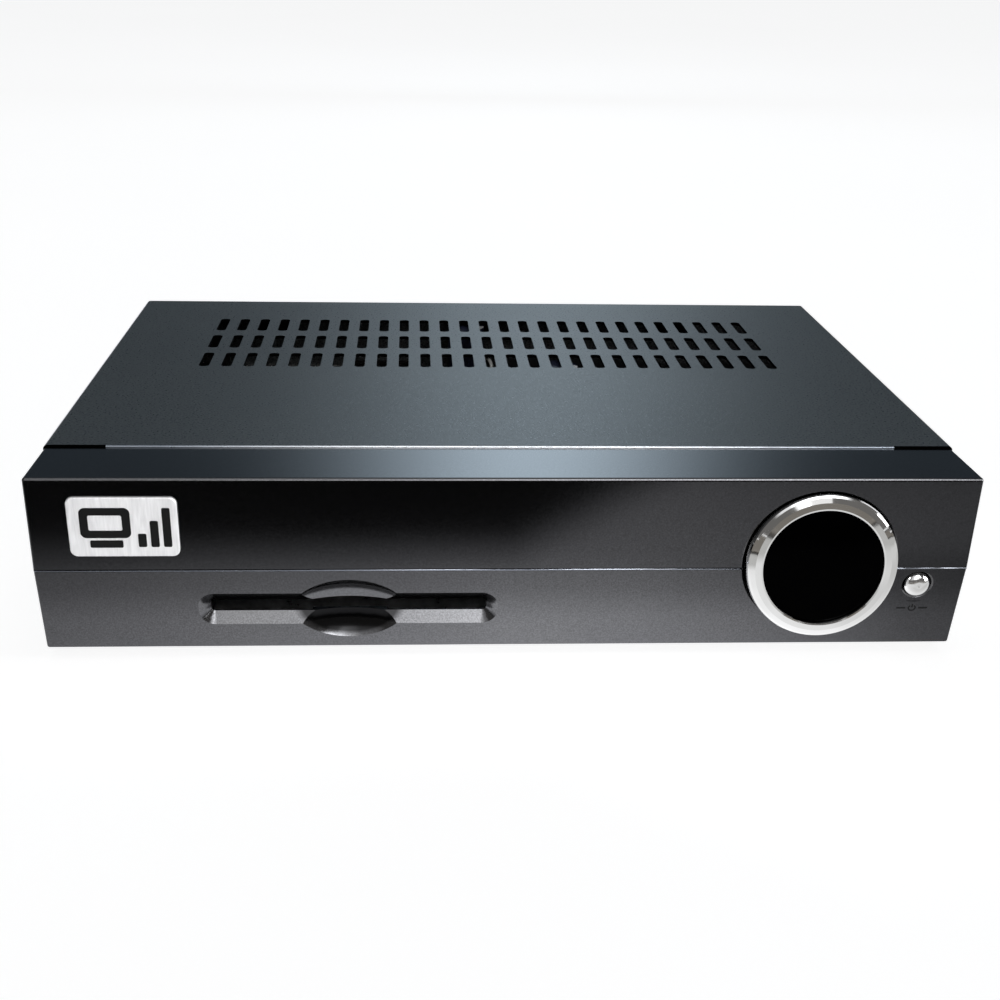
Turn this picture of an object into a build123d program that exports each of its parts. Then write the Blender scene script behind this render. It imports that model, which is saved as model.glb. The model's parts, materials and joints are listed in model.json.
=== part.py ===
from build123d import *
import math
import os

# Television set-top receiver with a smart-card slot, as an assembly of separate pieces.
# Millimetres.  +X is the viewer's right, the front faces -Y, +Z is up.  The origin lies on the
# surface under the feet, at the middle of the overall width and depth.

# ---------------------------------------------------------------- driving dimensions: the case
CASE_WIDTH = 190.0
CASE_DEPTH = 147.8            # front top edge of the bezel to the back of the cover
BODY_HEIGHT = 39.9            # case without its feet
FOOT_HEIGHT = 3.0
RING_PROUD = 1.2              # chrome ring in front of the bezel's front top edge
PLUG_LENGTH = 12.0            # aerial connectors behind the rear panel
SHEET = 0.8                   # cover, tray and rear panel
COVER_FOLD_R = 1.0            # outer radius of the cover's folded edges

HALF_DEPTH = (RING_PROUD + CASE_DEPTH + PLUG_LENGTH) / 2
FRONT = -HALF_DEPTH + RING_PROUD        # y of the bezel's front top edge
BACK = FRONT + CASE_DEPTH               # y of the rear panel's outer face
FLOOR = FOOT_HEIGHT                     # z of the case's underside
TOP = FLOOR + BODY_HEIGHT

# ---------------------------------------------------------------- front bezel
BEZEL_WIDTH = 189.4
BEZEL_DEPTH = 19.6
BEZEL_WALL = 2.4
BEZEL_BACK = FRONT + BEZEL_DEPTH
EDGE_DROP = 0.24              # the front top edge lies this much below the cover
STRIP_STEP = 0.45             # and the back of the top strip this much
BREAK_Y = 2.12                # setback of the line where upper and lower face meet
BREAK_Z = 19.5
TOE_Y = 6.94                  # setback of the bottom front edge
EDGE_R = 0.6                  # outer edges
HOLE_BEVEL = 0.3
GAP_X = 82.2                  # the joint to the cover is open from here to the corners
JOINT_GAP = 1.1
BEAD_R = 0.42                 # rolled front edge of the cover
BEAD_ROOM = 0.08
GROOVE_DEPTH = 0.58           # parting groove between the two faces
GROOVE_LIP = 0.45             # height of its sloping lower lip

# ---------------------------------------------------------------- card slot and finger scoop
SLOT_X = -32.5
SLOT_Z = 9.74
MOUTH_W = 61.0
MOUTH_H = 7.9
MOUTH_R = 3.4
SLOT_W = 56.4
SLOT_H = 2.85
SLOT_R = 0.9
MOUTH_DEPTH = 2.06
SCOOP_X = -32.4
SCOOP_DEPTH = 3.4
SCOOP_HALF_W = 11.6
SCOOP_HALF_H = 7.4
SCOOP_RELIEF_HALF = 7.7       # half width over which the deeper lip runs
SLOT_BLOCK_BACK = 10.5        # rear face of the thick block around the slot
SLOT_LIP = 0.7                # land behind the mouth before the slot opens downwards
SCOOP_LIP = 1.9               # the same land behind the scoop
SLOT_RELIEF = 2.4

# ---------------------------------------------------------------- window, button, badge
RING_X = 63.6
RING_Z = 20.85
RING_R = 15.58
RING_BORE_R = 12.33
RING_BACK = 2.0
WINDOW_R = 12.23
RING_HOLE_R = 15.8
BARREL_R = 15.3
FLANGE_R = 16.7
BUTTON_X = 85.0
BUTTON_Z = 15.2
BUTTON_R = 2.7
BUTTON_HOLE_R = 3.0
BUTTON_TRAVEL = 0.5
BADGE_X = -76.1
BADGE_Z = 29.3
BADGE_W = 21.4
BADGE_H = 13.0
BADGE_R = 1.5
BADGE_PROUD = 0.5
BADGE_SUNK = 0.3

# ---------------------------------------------------------------- vents
VENT_COLUMNS = 27
VENT_PITCH_X = 5.40
VENT_W = 2.5
VENT_L = 12.5
VENT_R = 1.05
VENT_ROWS = (85.59, 103.12, 120.66)     # setback from the bezel's front top edge

# ---------------------------------------------------------------- boards
BOARD_T = 1.6
BOARD_Z = 10.0
BOARD_TOP = BOARD_Z + BOARD_T
FRONT_BOARD_Y = FRONT + 15.2
STANDOFFS = [(-84, -38), (-66, 51), (4, -50), (-16, 44), (48, -50), (47, 40)]

# ---------------------------------------------------------------- rear connectors
AERIAL_X = (83.0, 63.0)
AERIAL_Z = BOARD_TOP + 7.0
AERIAL_R = 4.76               # over the thread
SHANK_R = 5.5                 # plain part through the panel and the nut
NUT_FACE = 2.4                # outer end of the plain part, behind the rear panel
NUT_ACROSS = 13.0
THREAD_PITCH = 0.794
SCART_X = 25.0
OPTICAL_X = -8.0
ETHERNET_X = -27.0
SERIAL_X = -53.5
POWER_X = -82.0
ROCKER_Z = 32.4
DC_Z = BOARD_TOP + 6.3
JACK_SCREW_GAP = 25.0
PANEL_Y = BACK - SHEET                  # inner face of the rear panel


# ================================================================ helpers
def block(x0, x1, y0, y1, z0, z1):
    """A box between two corners."""
    middle = ((x0 + x1) / 2, (y0 + y1) / 2, (z0 + z1) / 2)
    return Pos(*middle) * Box(x1 - x0, y1 - y0, z1 - z0)


def rod_y(x, z, r, y0, y1):
    """A cylinder along Y."""
    return Pos(x, (y0 + y1) / 2, z) * Rot(90, 0, 0) * Cylinder(r, y1 - y0)


def rod_z(x, y, r, z0, z1):
    """A cylinder along Z."""
    return Pos(x, y, (z0 + z1) / 2) * Cylinder(r, z1 - z0)


def rod_x(y, z, r, x0, x1):
    """A cylinder along X."""
    return Pos((x0 + x1) / 2, y, z) * Rot(0, 90, 0) * Cylinder(r, x1 - x0)


def rear_plane(x, z, y):
    """A sketch plane facing the rear (+Y), with its own X to the left of a viewer in front."""
    return Plane(origin=(x, y, z), x_dir=(-1, 0, 0), z_dir=(0, 1, 0))


def slab_y(x, z, w, h, y0, y1, r=0.0):
    """A plate with rounded corners, w wide and h high, from y0 to y1."""
    outline = RectangleRounded(w, h, r) if r else Rectangle(w, h)
    return extrude(rear_plane(x, z, y0) * outline, y1 - y0)


def slab_z(x, y, w, d, z0, z1, r=0.0):
    """A plate with rounded corners lying flat, from z0 to z1."""
    outline = RectangleRounded(w, d, r) if r else Rectangle(w, d)
    return extrude(Plane(origin=(x, y, z0)) * outline, z1 - z0)


def side_profile(points, x0, x1):
    """An outline in the (y, z) plane, extruded from x0 to x1."""
    plane = Plane(origin=(x0, 0, 0), x_dir=(0, 1, 0), z_dir=(1, 0, 0))
    return extrude(plane * Polygon(*points, align=None), x1 - x0, dir=(1, 0, 0))


def turned_y(points, x, z):
    """A solid of revolution about a line along Y; points are (radius, y)."""
    face = Plane.XY * Polygon(*points, align=None)
    return Pos(x, 0, z) * revolve(face, Axis.Y)


def hex_y(x, z, across, y0, y1):
    """A hexagonal prism along Y, given its size across the flats."""
    return extrude(rear_plane(x, z, y0) * RegularPolygon(across / 2, 6, major_radius=False), y1 - y0)


def hex_z(x, y, across, z0, z1):
    """A hexagonal prism along Z."""
    return extrude(Plane(origin=(x, y, z0)) * RegularPolygon(across / 2, 6, major_radius=False), z1 - z0)


def group(pieces):
    """Separate solids kept as one node."""
    solids = []
    for piece in pieces:
        solids.extend(piece.solids())
    return Compound(children=solids)


def minus(body, cutters):
    """The body with each cutter taken away."""
    for cutter in cutters:
        body = body - cutter
    return body


def upper_y(z):
    """Setback of the upper face's plane at a height above the underside."""
    return BREAK_Y * (BODY_HEIGHT - EDGE_DROP - z) / (BODY_HEIGHT - EDGE_DROP - BREAK_Z)


def lower_y(z):
    """Setback of the lower face's plane."""
    return BREAK_Y + (TOE_Y - BREAK_Y) * (BREAK_Z - z) / BREAK_Z


def face_y(z):
    """Setback of the bezel's front, whichever of its two faces is at that height."""
    return upper_y(z) if z >= BREAK_Z else lower_y(z)


UPPER_TILT = math.atan2(BREAK_Y, BODY_HEIGHT - EDGE_DROP - BREAK_Z)
LOWER_TILT = math.atan2(TOE_Y - BREAK_Y, BREAK_Z)


def face_plane(x, z, tilt, setback=0.0):
    """A sketch plane on the front face at height z, or parallel to it and further back."""
    origin = (x, FRONT + face_y(z) + setback, FLOOR + z)
    return Plane(origin=origin, x_dir=(1, 0, 0), z_dir=(0, -math.cos(tilt), -math.sin(tilt)))


# ================================================================ casing
def top_cover():
    """Folded steel: a top and two sides, with rows of vents and two tabs for the rear screws."""
    half = CASE_WIDTH / 2
    fold_r = COVER_FOLD_R
    front = BEZEL_BACK
    outline = RectangleRounded(CASE_WIDTH, 2 * BODY_HEIGHT, fold_r)
    outer = extrude(rear_plane(0, FLOOR, front) * outline, BACK - front)
    inner_outline = RectangleRounded(CASE_WIDTH - 2 * SHEET, 2 * (BODY_HEIGHT - SHEET), fold_r - SHEET)
    inner = extrude(rear_plane(0, FLOOR, front) * inner_outline, BACK - front)
    cover = outer - inner - block(-half, half, front, BACK, FLOOR - BODY_HEIGHT - 1, FLOOR)
    # rolled front edge, between the open corners
    cover = cover + rod_x(front, TOP - BEAD_R, BEAD_R, -GAP_X, GAP_X)
    slots = []
    for row in VENT_ROWS:
        for column in range(VENT_COLUMNS):
            x = (column - (VENT_COLUMNS - 1) / 2) * VENT_PITCH_X
            slots.append(slab_z(x, FRONT + row, VENT_W, VENT_L, TOP - 2 * SHEET, TOP + 1, VENT_R))
    cover = cover - slots
    side_vents = []
    for side in (-1, 1):
        for step in range(12):
            y = 5 + step * VENT_PITCH_X
            slot = Plane(origin=(side * (half - 2), y, 29), x_dir=(0, 1, 0), z_dir=(side, 0, 0))
            side_vents.append(extrude(slot * RectangleRounded(VENT_W, VENT_L, VENT_R), 4))
    cover = cover - side_vents
    # tabs behind the rear panel, tapped for the cover screws
    for x in COVER_SCREW_X:
        tab = block(x - 6, x + 6, PANEL_Y - SHEET, PANEL_Y, TOP - SHEET - 7.5, TOP - SHEET / 2)
        cover = cover + (tab - rod_y(x, COVER_SCREW_Z, 1.3, PANEL_Y - 5, PANEL_Y + 5))
    return cover


COVER_SCREW_X = (-58, 0, 55)
COVER_SCREW_Z = TOP - 4.6
PANEL_SCREWS = [(-66, 6.6), (-17.5, 6.6), (73, 6.6)]
FOOT_PLACES = [(-78, -50), (78, -50), (-78, 55), (78, 55)]
HOOK_X = (-70, 20, 70)


def base_tray():
    """Steel floor with low sides, a front lip the bezel hooks into, and tabs for the rear panel."""
    half = CASE_WIDTH / 2 - SHEET - 0.1
    front = BEZEL_BACK + 0.6
    back = PANEL_Y - 0.1
    tray = block(-half, half, front, back, FLOOR, FLOOR + SHEET)
    tray = tray + block(-half, -half + SHEET, front, back, FLOOR, FLOOR + 9)
    tray = tray + block(half - SHEET, half, front, back, FLOOR, FLOOR + 9)
    tray = tray + block(-half, half, front, front + SHEET, FLOOR, FLOOR + 7)
    for x, z in PANEL_SCREWS:
        tab = block(x - 5, x + 5, back - SHEET, back, FLOOR, z + 3.2)
        tray = tray + (tab - rod_y(x, z, 1.3, back - 5, back + 5))
    cutters = []
    for x, y in FOOT_PLACES:
        cutters.append(rod_z(x, y, 2.6, FLOOR - 1, FLOOR + 2))
    for x in HOOK_X:
        cutters.append(block(x - 4.3, x + 4.3, front - 1, front + 2, FLOOR + 1.6, FLOOR + 4.4))
    for row in range(3):
        for column in range(15):
            x = (column - 7) * 7.2
            cutters.append(slab_z(x, -20 + row * 18, 2.6, 12, FLOOR - 1, FLOOR + 2, 0.9))
    return tray - cutters


def rear_panel():
    """Flat steel plate with a cut-out for every connector."""
    half = CASE_WIDTH / 2 - SHEET - 0.1
    panel = block(-half, half, PANEL_Y, BACK, FLOOR + 0.1, TOP - SHEET - 0.1)
    corners = panel.edges().filter_by(Axis.Y).group_by(Axis.Z)[-1]
    panel = fillet(corners, 1.2)
    cutters = [rod_y(x, AERIAL_Z, SHANK_R + 0.15, PANEL_Y - 1, BACK + 1) for x in AERIAL_X]
    cutters.append(slab_y(SCART_X, SCART_Z, SCART_W + 0.4, SCART_H + 0.4, PANEL_Y - 1, BACK + 1, 1.2))
    cutters.append(slab_y(OPTICAL_X, OPTICAL_Z, OPTICAL_W + 0.4, OPTICAL_H + 0.4, PANEL_Y - 1, BACK + 1))
    cutters.append(slab_y(ETHERNET_X, ETHERNET_Z, ETHERNET_W + 0.4, ETHERNET_H + 0.4,
                          PANEL_Y - 1, BACK + 1))
    cutters.append(slab_y(POWER_X, DC_Z, DC_W + 0.4, DC_H + 0.4, PANEL_Y - 1, BACK + 1, 0.6))
    cutters.append(slab_y(POWER_X, ROCKER_Z, 2 * ROCKER_SLEEVE_X + 0.2, 2 * ROCKER_SLEEVE_Z + 0.2,
                          PANEL_Y - 1, BACK + 1))
    cutters.append(d_shell(SERIAL_W + 0.5, SERIAL_H + 0.5, PANEL_Y - 1, BACK + 1))
    for side in (-1, 1):
        cutters.append(rod_y(SERIAL_X + side * JACK_SCREW_GAP / 2, SERIAL_Z, 1.7, PANEL_Y - 1, BACK + 1))
    for x in COVER_SCREW_X:
        cutters.append(rod_y(x, COVER_SCREW_Z, 1.7, PANEL_Y - 1, BACK + 1))
    for x, z in PANEL_SCREWS:
        cutters.append(rod_y(x, z, 1.7, PANEL_Y - 1, BACK + 1))
    return panel - cutters


def bezel_shell():
    """The hollow front moulding, open at the back, before its openings are cut."""
    half = BEZEL_WIDTH / 2
    top_front = (FRONT, TOP - EDGE_DROP)
    brk = (FRONT + BREAK_Y, FLOOR + BREAK_Z)
    toe = (FRONT + TOE_Y, FLOOR)
    rear_top = (BEZEL_BACK, TOP - STRIP_STEP)
    shell = side_profile([rear_top, top_front, brk, toe, (BEZEL_BACK, FLOOR)], -half, half)

    # every outer edge is rounded except those of the open back and the blunt break
    outer = [edge for edge in shell.edges() if edge.center().Y < BEZEL_BACK - 0.1]
    outer = [edge for edge in outer if (edge.center() - Vector(0, *brk)).length > 1.0]
    shell = fillet(outer, EDGE_R)
    inside = half - BEZEL_WALL
    low = FLOOR + 2.2
    high = TOP - 2.2
    cavity = side_profile([
        (BEZEL_BACK + 1, high),
        (FRONT + face_y(high - FLOOR) + BEZEL_WALL, high),
        (FRONT + BREAK_Y + BEZEL_WALL, FLOOR + BREAK_Z),
        (FRONT + face_y(low - FLOOR) + BEZEL_WALL, low),
        (BEZEL_BACK + 1, low),
    ], -inside, inside)
    return shell - cavity


def slot_cutters():
    """Sloped mouth, straight card slot and the spindle-shaped finger scoop."""
    mouth = face_plane(SLOT_X, SLOT_Z, LOWER_TILT) * RectangleRounded(MOUTH_W, MOUTH_H, MOUTH_R)
    seat = face_plane(SLOT_X, SLOT_Z, LOWER_TILT, MOUTH_DEPTH) * RectangleRounded(SLOT_W, SLOT_H, SLOT_R)
    funnel = loft([mouth.face(), seat.face()], ruled=True)
    y = FRONT + face_y(SLOT_Z)
    z = FLOOR + SLOT_Z
    slit = slab_y(SLOT_X, z, SLOT_W, SLOT_H, y + MOUTH_DEPTH - 0.4, FRONT + BEZEL_DEPTH, SLOT_R)
    # the scoop's axis runs parallel to X in front of the face
    swell = (SCOOP_HALF_H ** 2 + SCOOP_DEPTH ** 2) / (2 * SCOOP_DEPTH)
    stand_off = swell - SCOOP_DEPTH
    arc_r = (SCOOP_HALF_W ** 2 + SCOOP_DEPTH ** 2) / (2 * SCOOP_DEPTH)
    tip = math.sqrt(arc_r ** 2 - (arc_r - swell) ** 2)
    lens = make_face([ThreePointArc((-tip, 0), (0, swell), (tip, 0)), Line((tip, 0), (-tip, 0))])
    spindle = revolve(lens, Axis.X)
    axis_y = FRONT + face_y(SLOT_Z) - stand_off * math.cos(LOWER_TILT)
    axis_z = FLOOR + SLOT_Z - stand_off * math.sin(LOWER_TILT)
    # behind its lip the slot opens downwards, so that it looks into the dark inside
    reliefs = []
    inner = SCOOP_RELIEF_HALF
    for x0, x1, lip in ((SLOT_X - SLOT_W / 2, SCOOP_X - inner, SLOT_LIP),
                        (SCOOP_X - inner, SCOOP_X + inner, SCOOP_LIP),
                        (SCOOP_X + inner, SLOT_X + SLOT_W / 2, SLOT_LIP)):
        reliefs.append(block(x0, x1, y + MOUTH_DEPTH + lip, FRONT + SLOT_BLOCK_BACK + 1,
                             z - SLOT_H / 2 - SLOT_RELIEF, z + SLOT_H / 2))
    return [funnel, slit, Pos(SCOOP_X, axis_y, axis_z) * spindle] + reliefs


FRONT_BOARD_BOSSES = [(44.8, 34.0), (88.0, 34.0)]
WEB_Y = FRONT + 7.0


def mouth_bevel(x, z, radius, tilt, setback):
    """Shallow flared cutter where a round hole along Y comes out of a sloping face."""
    normal = (0, -math.cos(tilt), -math.sin(tilt))
    plane = Plane(origin=(x, FRONT + setback, FLOOR + z), x_dir=(1, 0, 0), z_dir=normal)
    tall = radius / math.cos(tilt)
    rim = plane.offset(HOLE_BEVEL) * Ellipse(radius + 2 * HOLE_BEVEL, tall + 2 * HOLE_BEVEL)
    throat = plane.offset(-2 * HOLE_BEVEL) * Ellipse(radius - HOLE_BEVEL, tall - HOLE_BEVEL)
    return loft([rim.face(), throat.face()], ruled=True)


def front_bezel():
    """Painted moulding: two sloping faces, parting groove, slot, ring hole and button hole."""
    bezel = bezel_shell()
    block_half = MOUTH_W / 2 + 3
    backing = side_profile([
        (FRONT + face_y(17) + 1, FLOOR + 17),
        (FRONT + face_y(1) + 1, FLOOR + 1),
        (FRONT + SLOT_BLOCK_BACK, FLOOR + 1),
        (FRONT + SLOT_BLOCK_BACK, FLOOR + 17),
    ], SLOT_X - block_half, SLOT_X + block_half)
    bezel = bezel + backing
    bezel = minus(bezel, slot_cutters())
    # window hole and button hole, each with a small bevel at its mouth
    centre_z = FLOOR + RING_Z
    bezel = bezel - rod_y(RING_X, centre_z, RING_HOLE_R, FRONT - 2, FRONT + 12)
    above = block(RING_X - 20, RING_X + 20, FRONT - 5, FRONT + 12, FLOOR + BREAK_Z, TOP + 5)
    bezel = bezel - (mouth_bevel(RING_X, RING_Z, RING_HOLE_R, UPPER_TILT, upper_y(RING_Z)) & above)
    bezel = bezel - (mouth_bevel(RING_X, RING_Z, RING_HOLE_R, LOWER_TILT, lower_y(RING_Z)) - above)
    z = FLOOR + BUTTON_Z
    y = FRONT + face_y(BUTTON_Z)
    guide = rod_y(BUTTON_X, z, BUTTON_HOLE_R + 1.4, y + 1, WEB_Y + 2)
    bezel = bezel + guide
    bezel = bezel - rod_y(BUTTON_X, z, BUTTON_HOLE_R, FRONT - 2, WEB_Y)
    bezel = bezel - mouth_bevel(BUTTON_X, BUTTON_Z, BUTTON_HOLE_R, LOWER_TILT, lower_y(BUTTON_Z))
    bezel = bezel - rod_y(BUTTON_X, z, 2.05, FRONT, WEB_Y + 3)
    # parting groove, from the left side to the ring
    lip_y = lower_y(BREAK_Z - GROOVE_LIP)
    slope = (GROOVE_LIP - 0.05) / (BREAK_Y + GROOVE_DEPTH - lip_y)
    groove = side_profile([
        (FRONT + 1.2, FLOOR + BREAK_Z + 0.1),
        (FRONT + BREAK_Y + GROOVE_DEPTH, FLOOR + BREAK_Z + 0.1),
        (FRONT + BREAK_Y + GROOVE_DEPTH, FLOOR + BREAK_Z - 0.05),
        (FRONT + 1.2, FLOOR + BREAK_Z - GROOVE_LIP - (lip_y - 1.2) * slope),
    ], -BEZEL_WIDTH / 2 - 1, RING_X - BARREL_R)
    bezel = bezel - groove
    # bosses for the front board
    for x, boss_z in FRONT_BOARD_BOSSES:
        boss = rod_y(x, boss_z, 2.6, FRONT + face_y(boss_z - FLOOR) + 1.5, FRONT_BOARD_Y)
        bezel = bezel + boss - rod_y(x, boss_z, 1.25, FRONT_BOARD_Y - 7, FRONT_BOARD_Y + 1)
    # badge recess
    seat = RectangleRounded(BADGE_W + 0.3, BADGE_H + 0.3, BADGE_R)
    bezel = bezel - extrude(face_plane(BADGE_X, BADGE_Z, UPPER_TILT) * seat, -BADGE_SUNK)
    # the strip stops short of the cover at both corners
    for side in (-1, 1):
        low, high = sorted((side * GAP_X, side * CASE_WIDTH))
        bezel = bezel - block(low, high, BEZEL_BACK - JOINT_GAP, BEZEL_BACK + 1, TOP - 1.2, TOP + 1)
    bezel = bezel - rod_x(BEZEL_BACK, TOP - BEAD_R, BEAD_R + BEAD_ROOM, -GAP_X, GAP_X)
    # hooks that catch the tray's front lip
    for x in HOOK_X:
        arm = block(x - 4, x + 4, BEZEL_BACK - 12, BEZEL_BACK + 3.2, FLOOR + 2, FLOOR + 3.4)
        nose = block(x - 4, x + 4, BEZEL_BACK + 1.6, BEZEL_BACK + 3.2, FLOOR + 3.4, FLOOR + 4.2)
        bezel = bezel + arm + nose
    return bezel


def window_ring():
    """Chromed ring: outer bevel, broad sloping face and a fine inner lip."""
    points = [
        (RING_R, FRONT + RING_BACK),
        (RING_R, FRONT - 0.05),
        (RING_R - 0.18, FRONT - 0.4),
        (RING_R - 0.6, FRONT - 0.62),
        (14.0, FRONT - 1.02),
        (RING_BORE_R + 0.45, FRONT - RING_PROUD),
        (RING_BORE_R + 0.12, FRONT - RING_PROUD + 0.08),
        (RING_BORE_R, FRONT - RING_PROUD + 0.35),
        (RING_BORE_R, FRONT + RING_BACK),
    ]
    return turned_y(points, RING_X, FLOOR + RING_Z)


def display_window():
    """Dark, slightly domed disc."""
    rim = FRONT - 0.3
    rise = 0.35
    dome_r = (WINDOW_R ** 2 + rise ** 2) / (2 * rise)
    dome = Pos(RING_X, rim - rise + dome_r, FLOOR + RING_Z) * Sphere(dome_r)
    disc = rod_y(RING_X, FLOOR + RING_Z, WINDOW_R, rim - 1, FRONT + RING_BACK)
    return disc & dome


def window_housing():
    """Black barrel behind ring and window, with a flange inside the bezel."""
    points = [
        (11.4, FRONT + RING_BACK),
        (BARREL_R, FRONT + RING_BACK),
        (BARREL_R, FRONT + 9.0),
        (FLANGE_R, FRONT + 9.0),
        (FLANGE_R, FRONT + 10.3),
        (13.2, FRONT + 10.3),
        (13.2, FRONT + 3.4),
        (11.4, FRONT + 3.4),
    ]
    return turned_y(points, RING_X, FLOOR + RING_Z)


def standby_button():
    """Domed cap on a stem; the flange behind the web keeps it in."""
    face = FRONT + face_y(BUTTON_Z)
    apex = face - 1.0
    shoulder = face + 0.1
    outline = make_face([
        ThreePointArc((0, apex), (BUTTON_R * 0.72, apex + 0.34), (BUTTON_R, shoulder)),
        Polyline((BUTTON_R, shoulder), (BUTTON_R, face + 2.2), (2.0, face + 2.2), (2.0, WEB_Y + 2.05),
                 (2.8, WEB_Y + 2.05), (2.8, WEB_Y + 3.0), (1.6, WEB_Y + 3.0), (1.6, PLUNGER_Y),
                 (0, PLUNGER_Y), (0, apex)),
    ])
    return Pos(BUTTON_X, 0, FLOOR + BUTTON_Z) * revolve(outline, Axis.Y)


PLUNGER_Y = FRONT_BOARD_Y - 4.5
SWITCH_Y = FRONT_BOARD_Y - 3.5


def tact_plunger():
    """Moving stem of the small push switch."""
    z = FLOOR + BUTTON_Z
    stem = rod_y(BUTTON_X, z, 1.7, PLUNGER_Y, SWITCH_Y + 0.9)
    return stem + rod_y(BUTTON_X, z, 2.1, SWITCH_Y + 0.9, SWITCH_Y + 1.6)


def tact_switch():
    """Body of the small push switch, hollow around its plunger."""
    z = FLOOR + BUTTON_Z
    body = slab_y(BUTTON_X, z, 6.0, 6.0, SWITCH_Y, FRONT_BOARD_Y, 0.4)
    body = body - rod_y(BUTTON_X, z, 1.8, SWITCH_Y - 1, SWITCH_Y + 1)
    return body - rod_y(BUTTON_X, z, 2.2, SWITCH_Y + 0.85, SWITCH_Y + 2.6)


def badge_plate():
    """Thin satin plate with rounded corners and a softened rim."""
    plane = face_plane(BADGE_X, BADGE_Z, UPPER_TILT)
    plate = extrude(plane * RectangleRounded(BADGE_W, BADGE_H, BADGE_R), BADGE_PROUD)
    plate = plate + extrude(plane * RectangleRounded(BADGE_W, BADGE_H, BADGE_R), -BADGE_SUNK)
    rim = plate.faces().sort_by(Axis.Y)[0].edges()
    return chamfer(rim, 0.15)


def badge_emblem():
    """Made-up pictogram: a screen on a stand beside three rising signal bars."""
    plane = face_plane(BADGE_X, BADGE_Z, UPPER_TILT).offset(BADGE_PROUD)
    stroke = 1.6
    screen_w, screen_h = 9.8, 6.6
    hollow = RectangleRounded(screen_w - 2 * stroke, screen_h - 2 * stroke, 0.4)
    screen = Pos(-3.4, 1.0) * (RectangleRounded(screen_w, screen_h, 1.2) - hollow)
    stand = Pos(-3.4, -3.65) * RectangleRounded(6.4, stroke, 0.3)
    marks = [screen, stand]
    for step in range(3):
        height = 2.9 + 2.85 * step
        marks.append(Pos(3.6 + 2.45 * step, -4.3 + height / 2) * RectangleRounded(stroke, height, 0.3))
    return group([extrude(plane * mark, 0.12) for mark in marks])


def rubber_feet():
    """Push-in feet: a pad under the tray and a barbed peg through it."""
    feet = []
    for x, y in FOOT_PLACES:
        points = [(0, 0.6), (3.2, 0.6), (3.4, 0.0), (5.4, 0.0), (6.2, 0.7), (6.5, FLOOR), (2.5, FLOOR),
                  (2.5, FLOOR + SHEET), (3.2, FLOOR + SHEET), (1.6, FLOOR + 3.4), (0, FLOOR + 3.4)]
        foot = revolve(Plane.XZ * Polygon(*points, align=None), Axis.Z)
        feet.append(Pos(x, y, 0) * foot)
    return group(feet)


def pan_screw(shank_r, shank, head_r=2.7, head=1.7):
    """Pan-head screw with a cross recess; the head's underside lies at z = 0, the shank below."""
    arc_face = make_face([
        Line((0, 0), (head_r, 0)),
        Line((head_r, 0), (head_r, head * 0.35)),
        ThreePointArc((head_r, head * 0.35), (head_r * 0.72, head * 0.85), (0, head)),
        Line((0, head), (0, 0)),
    ])
    screw = revolve(Plane.XZ * arc_face, Axis.Z) + rod_z(0, 0, shank_r, -shank, 0.1)
    recess = Pos(0, 0, head) * (Box(head_r * 1.1, 0.6, 1.8) + Box(0.6, head_r * 1.1, 1.8))
    return screw - recess


def rear_screws(places, shank):
    """Screws through the rear panel, heads outside."""
    screw = pan_screw(1.25, shank)
    return group([Pos(x, BACK, z) * Rot(-90, 0, 0) * screw for x, z in places])


# ================================================================ boards
def main_board():
    """Main circuit board with its mounting holes."""
    board = block(-90.5, 90.5, -57.5, PANEL_Y - 1.6, BOARD_Z, BOARD_TOP)
    return board - [rod_z(x, y, 1.6, BOARD_Z - 1, BOARD_TOP + 1) for x, y in STANDOFFS]


def board_standoffs():
    """Hexagonal pillars between tray and main board."""
    pillars = []
    for x, y in STANDOFFS:
        pillar = hex_z(x, y, 5.0, FLOOR + SHEET, BOARD_Z)
        pillars.append(pillar - rod_z(x, y, 1.3, FLOOR + SHEET + 1, BOARD_Z + 1))
    return group(pillars)


def board_screws():
    """Screws that hold the main board on its pillars."""
    screw = pan_screw(1.25, 5.0)
    return group([Pos(x, y, BOARD_TOP) * screw for x, y in STANDOFFS])


def front_board():
    """Upright board behind the window and the button."""
    board = block(42, 91.5, FRONT_BOARD_Y, FRONT_BOARD_Y + BOARD_T, FLOOR + 5.5, 38)
    return board - [rod_y(x, z, 1.6, FRONT_BOARD_Y - 1, FRONT_BOARD_Y + 3) for x, z in FRONT_BOARD_BOSSES]


def front_board_screws():
    """Screws from behind, into the bezel's bosses."""
    screw = pan_screw(1.2, 5.0)
    y = FRONT_BOARD_Y + BOARD_T
    return group([Pos(x, y, z) * Rot(-90, 0, 0) * screw for x, z in FRONT_BOARD_BOSSES])


def segment_display():
    """Single-digit display block with seven raised bars, behind the dark window."""
    x = RING_X - 3.0
    z = FLOOR + RING_Z
    y = FRONT_BOARD_Y - 7.0
    body = slab_y(x, z, 12.6, 17.0, y, FRONT_BOARD_Y, 0.5)
    bar = 1.3
    for step in (-1, 0, 1):
        level = z + step * 5.6
        body = body + block(x - 2.6, x + 2.6, y - 0.2, y, level - bar / 2, level + bar / 2)
        if step:
            for side in (-1, 1):
                middle = z + step * 2.8
                body = body + block(x + side * 3.6 - bar / 2, x + side * 3.6 + bar / 2, y - 0.2, y,
                                    middle - 2.0, middle + 2.0)
    return body


def ir_receiver():
    """Infra-red receiver: a block with a round lens, on the front board."""
    x = RING_X + 8.0
    z = FLOOR + RING_Z
    y = FRONT_BOARD_Y - 5.6
    body = slab_y(x, z, 5.6, 6.8, y, FRONT_BOARD_Y, 0.4)
    return body + (Pos(x, y, z) * Sphere(2.2) - block(x - 3, x + 3, y + 0.5, y + 5, z - 3, z + 3))


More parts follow.
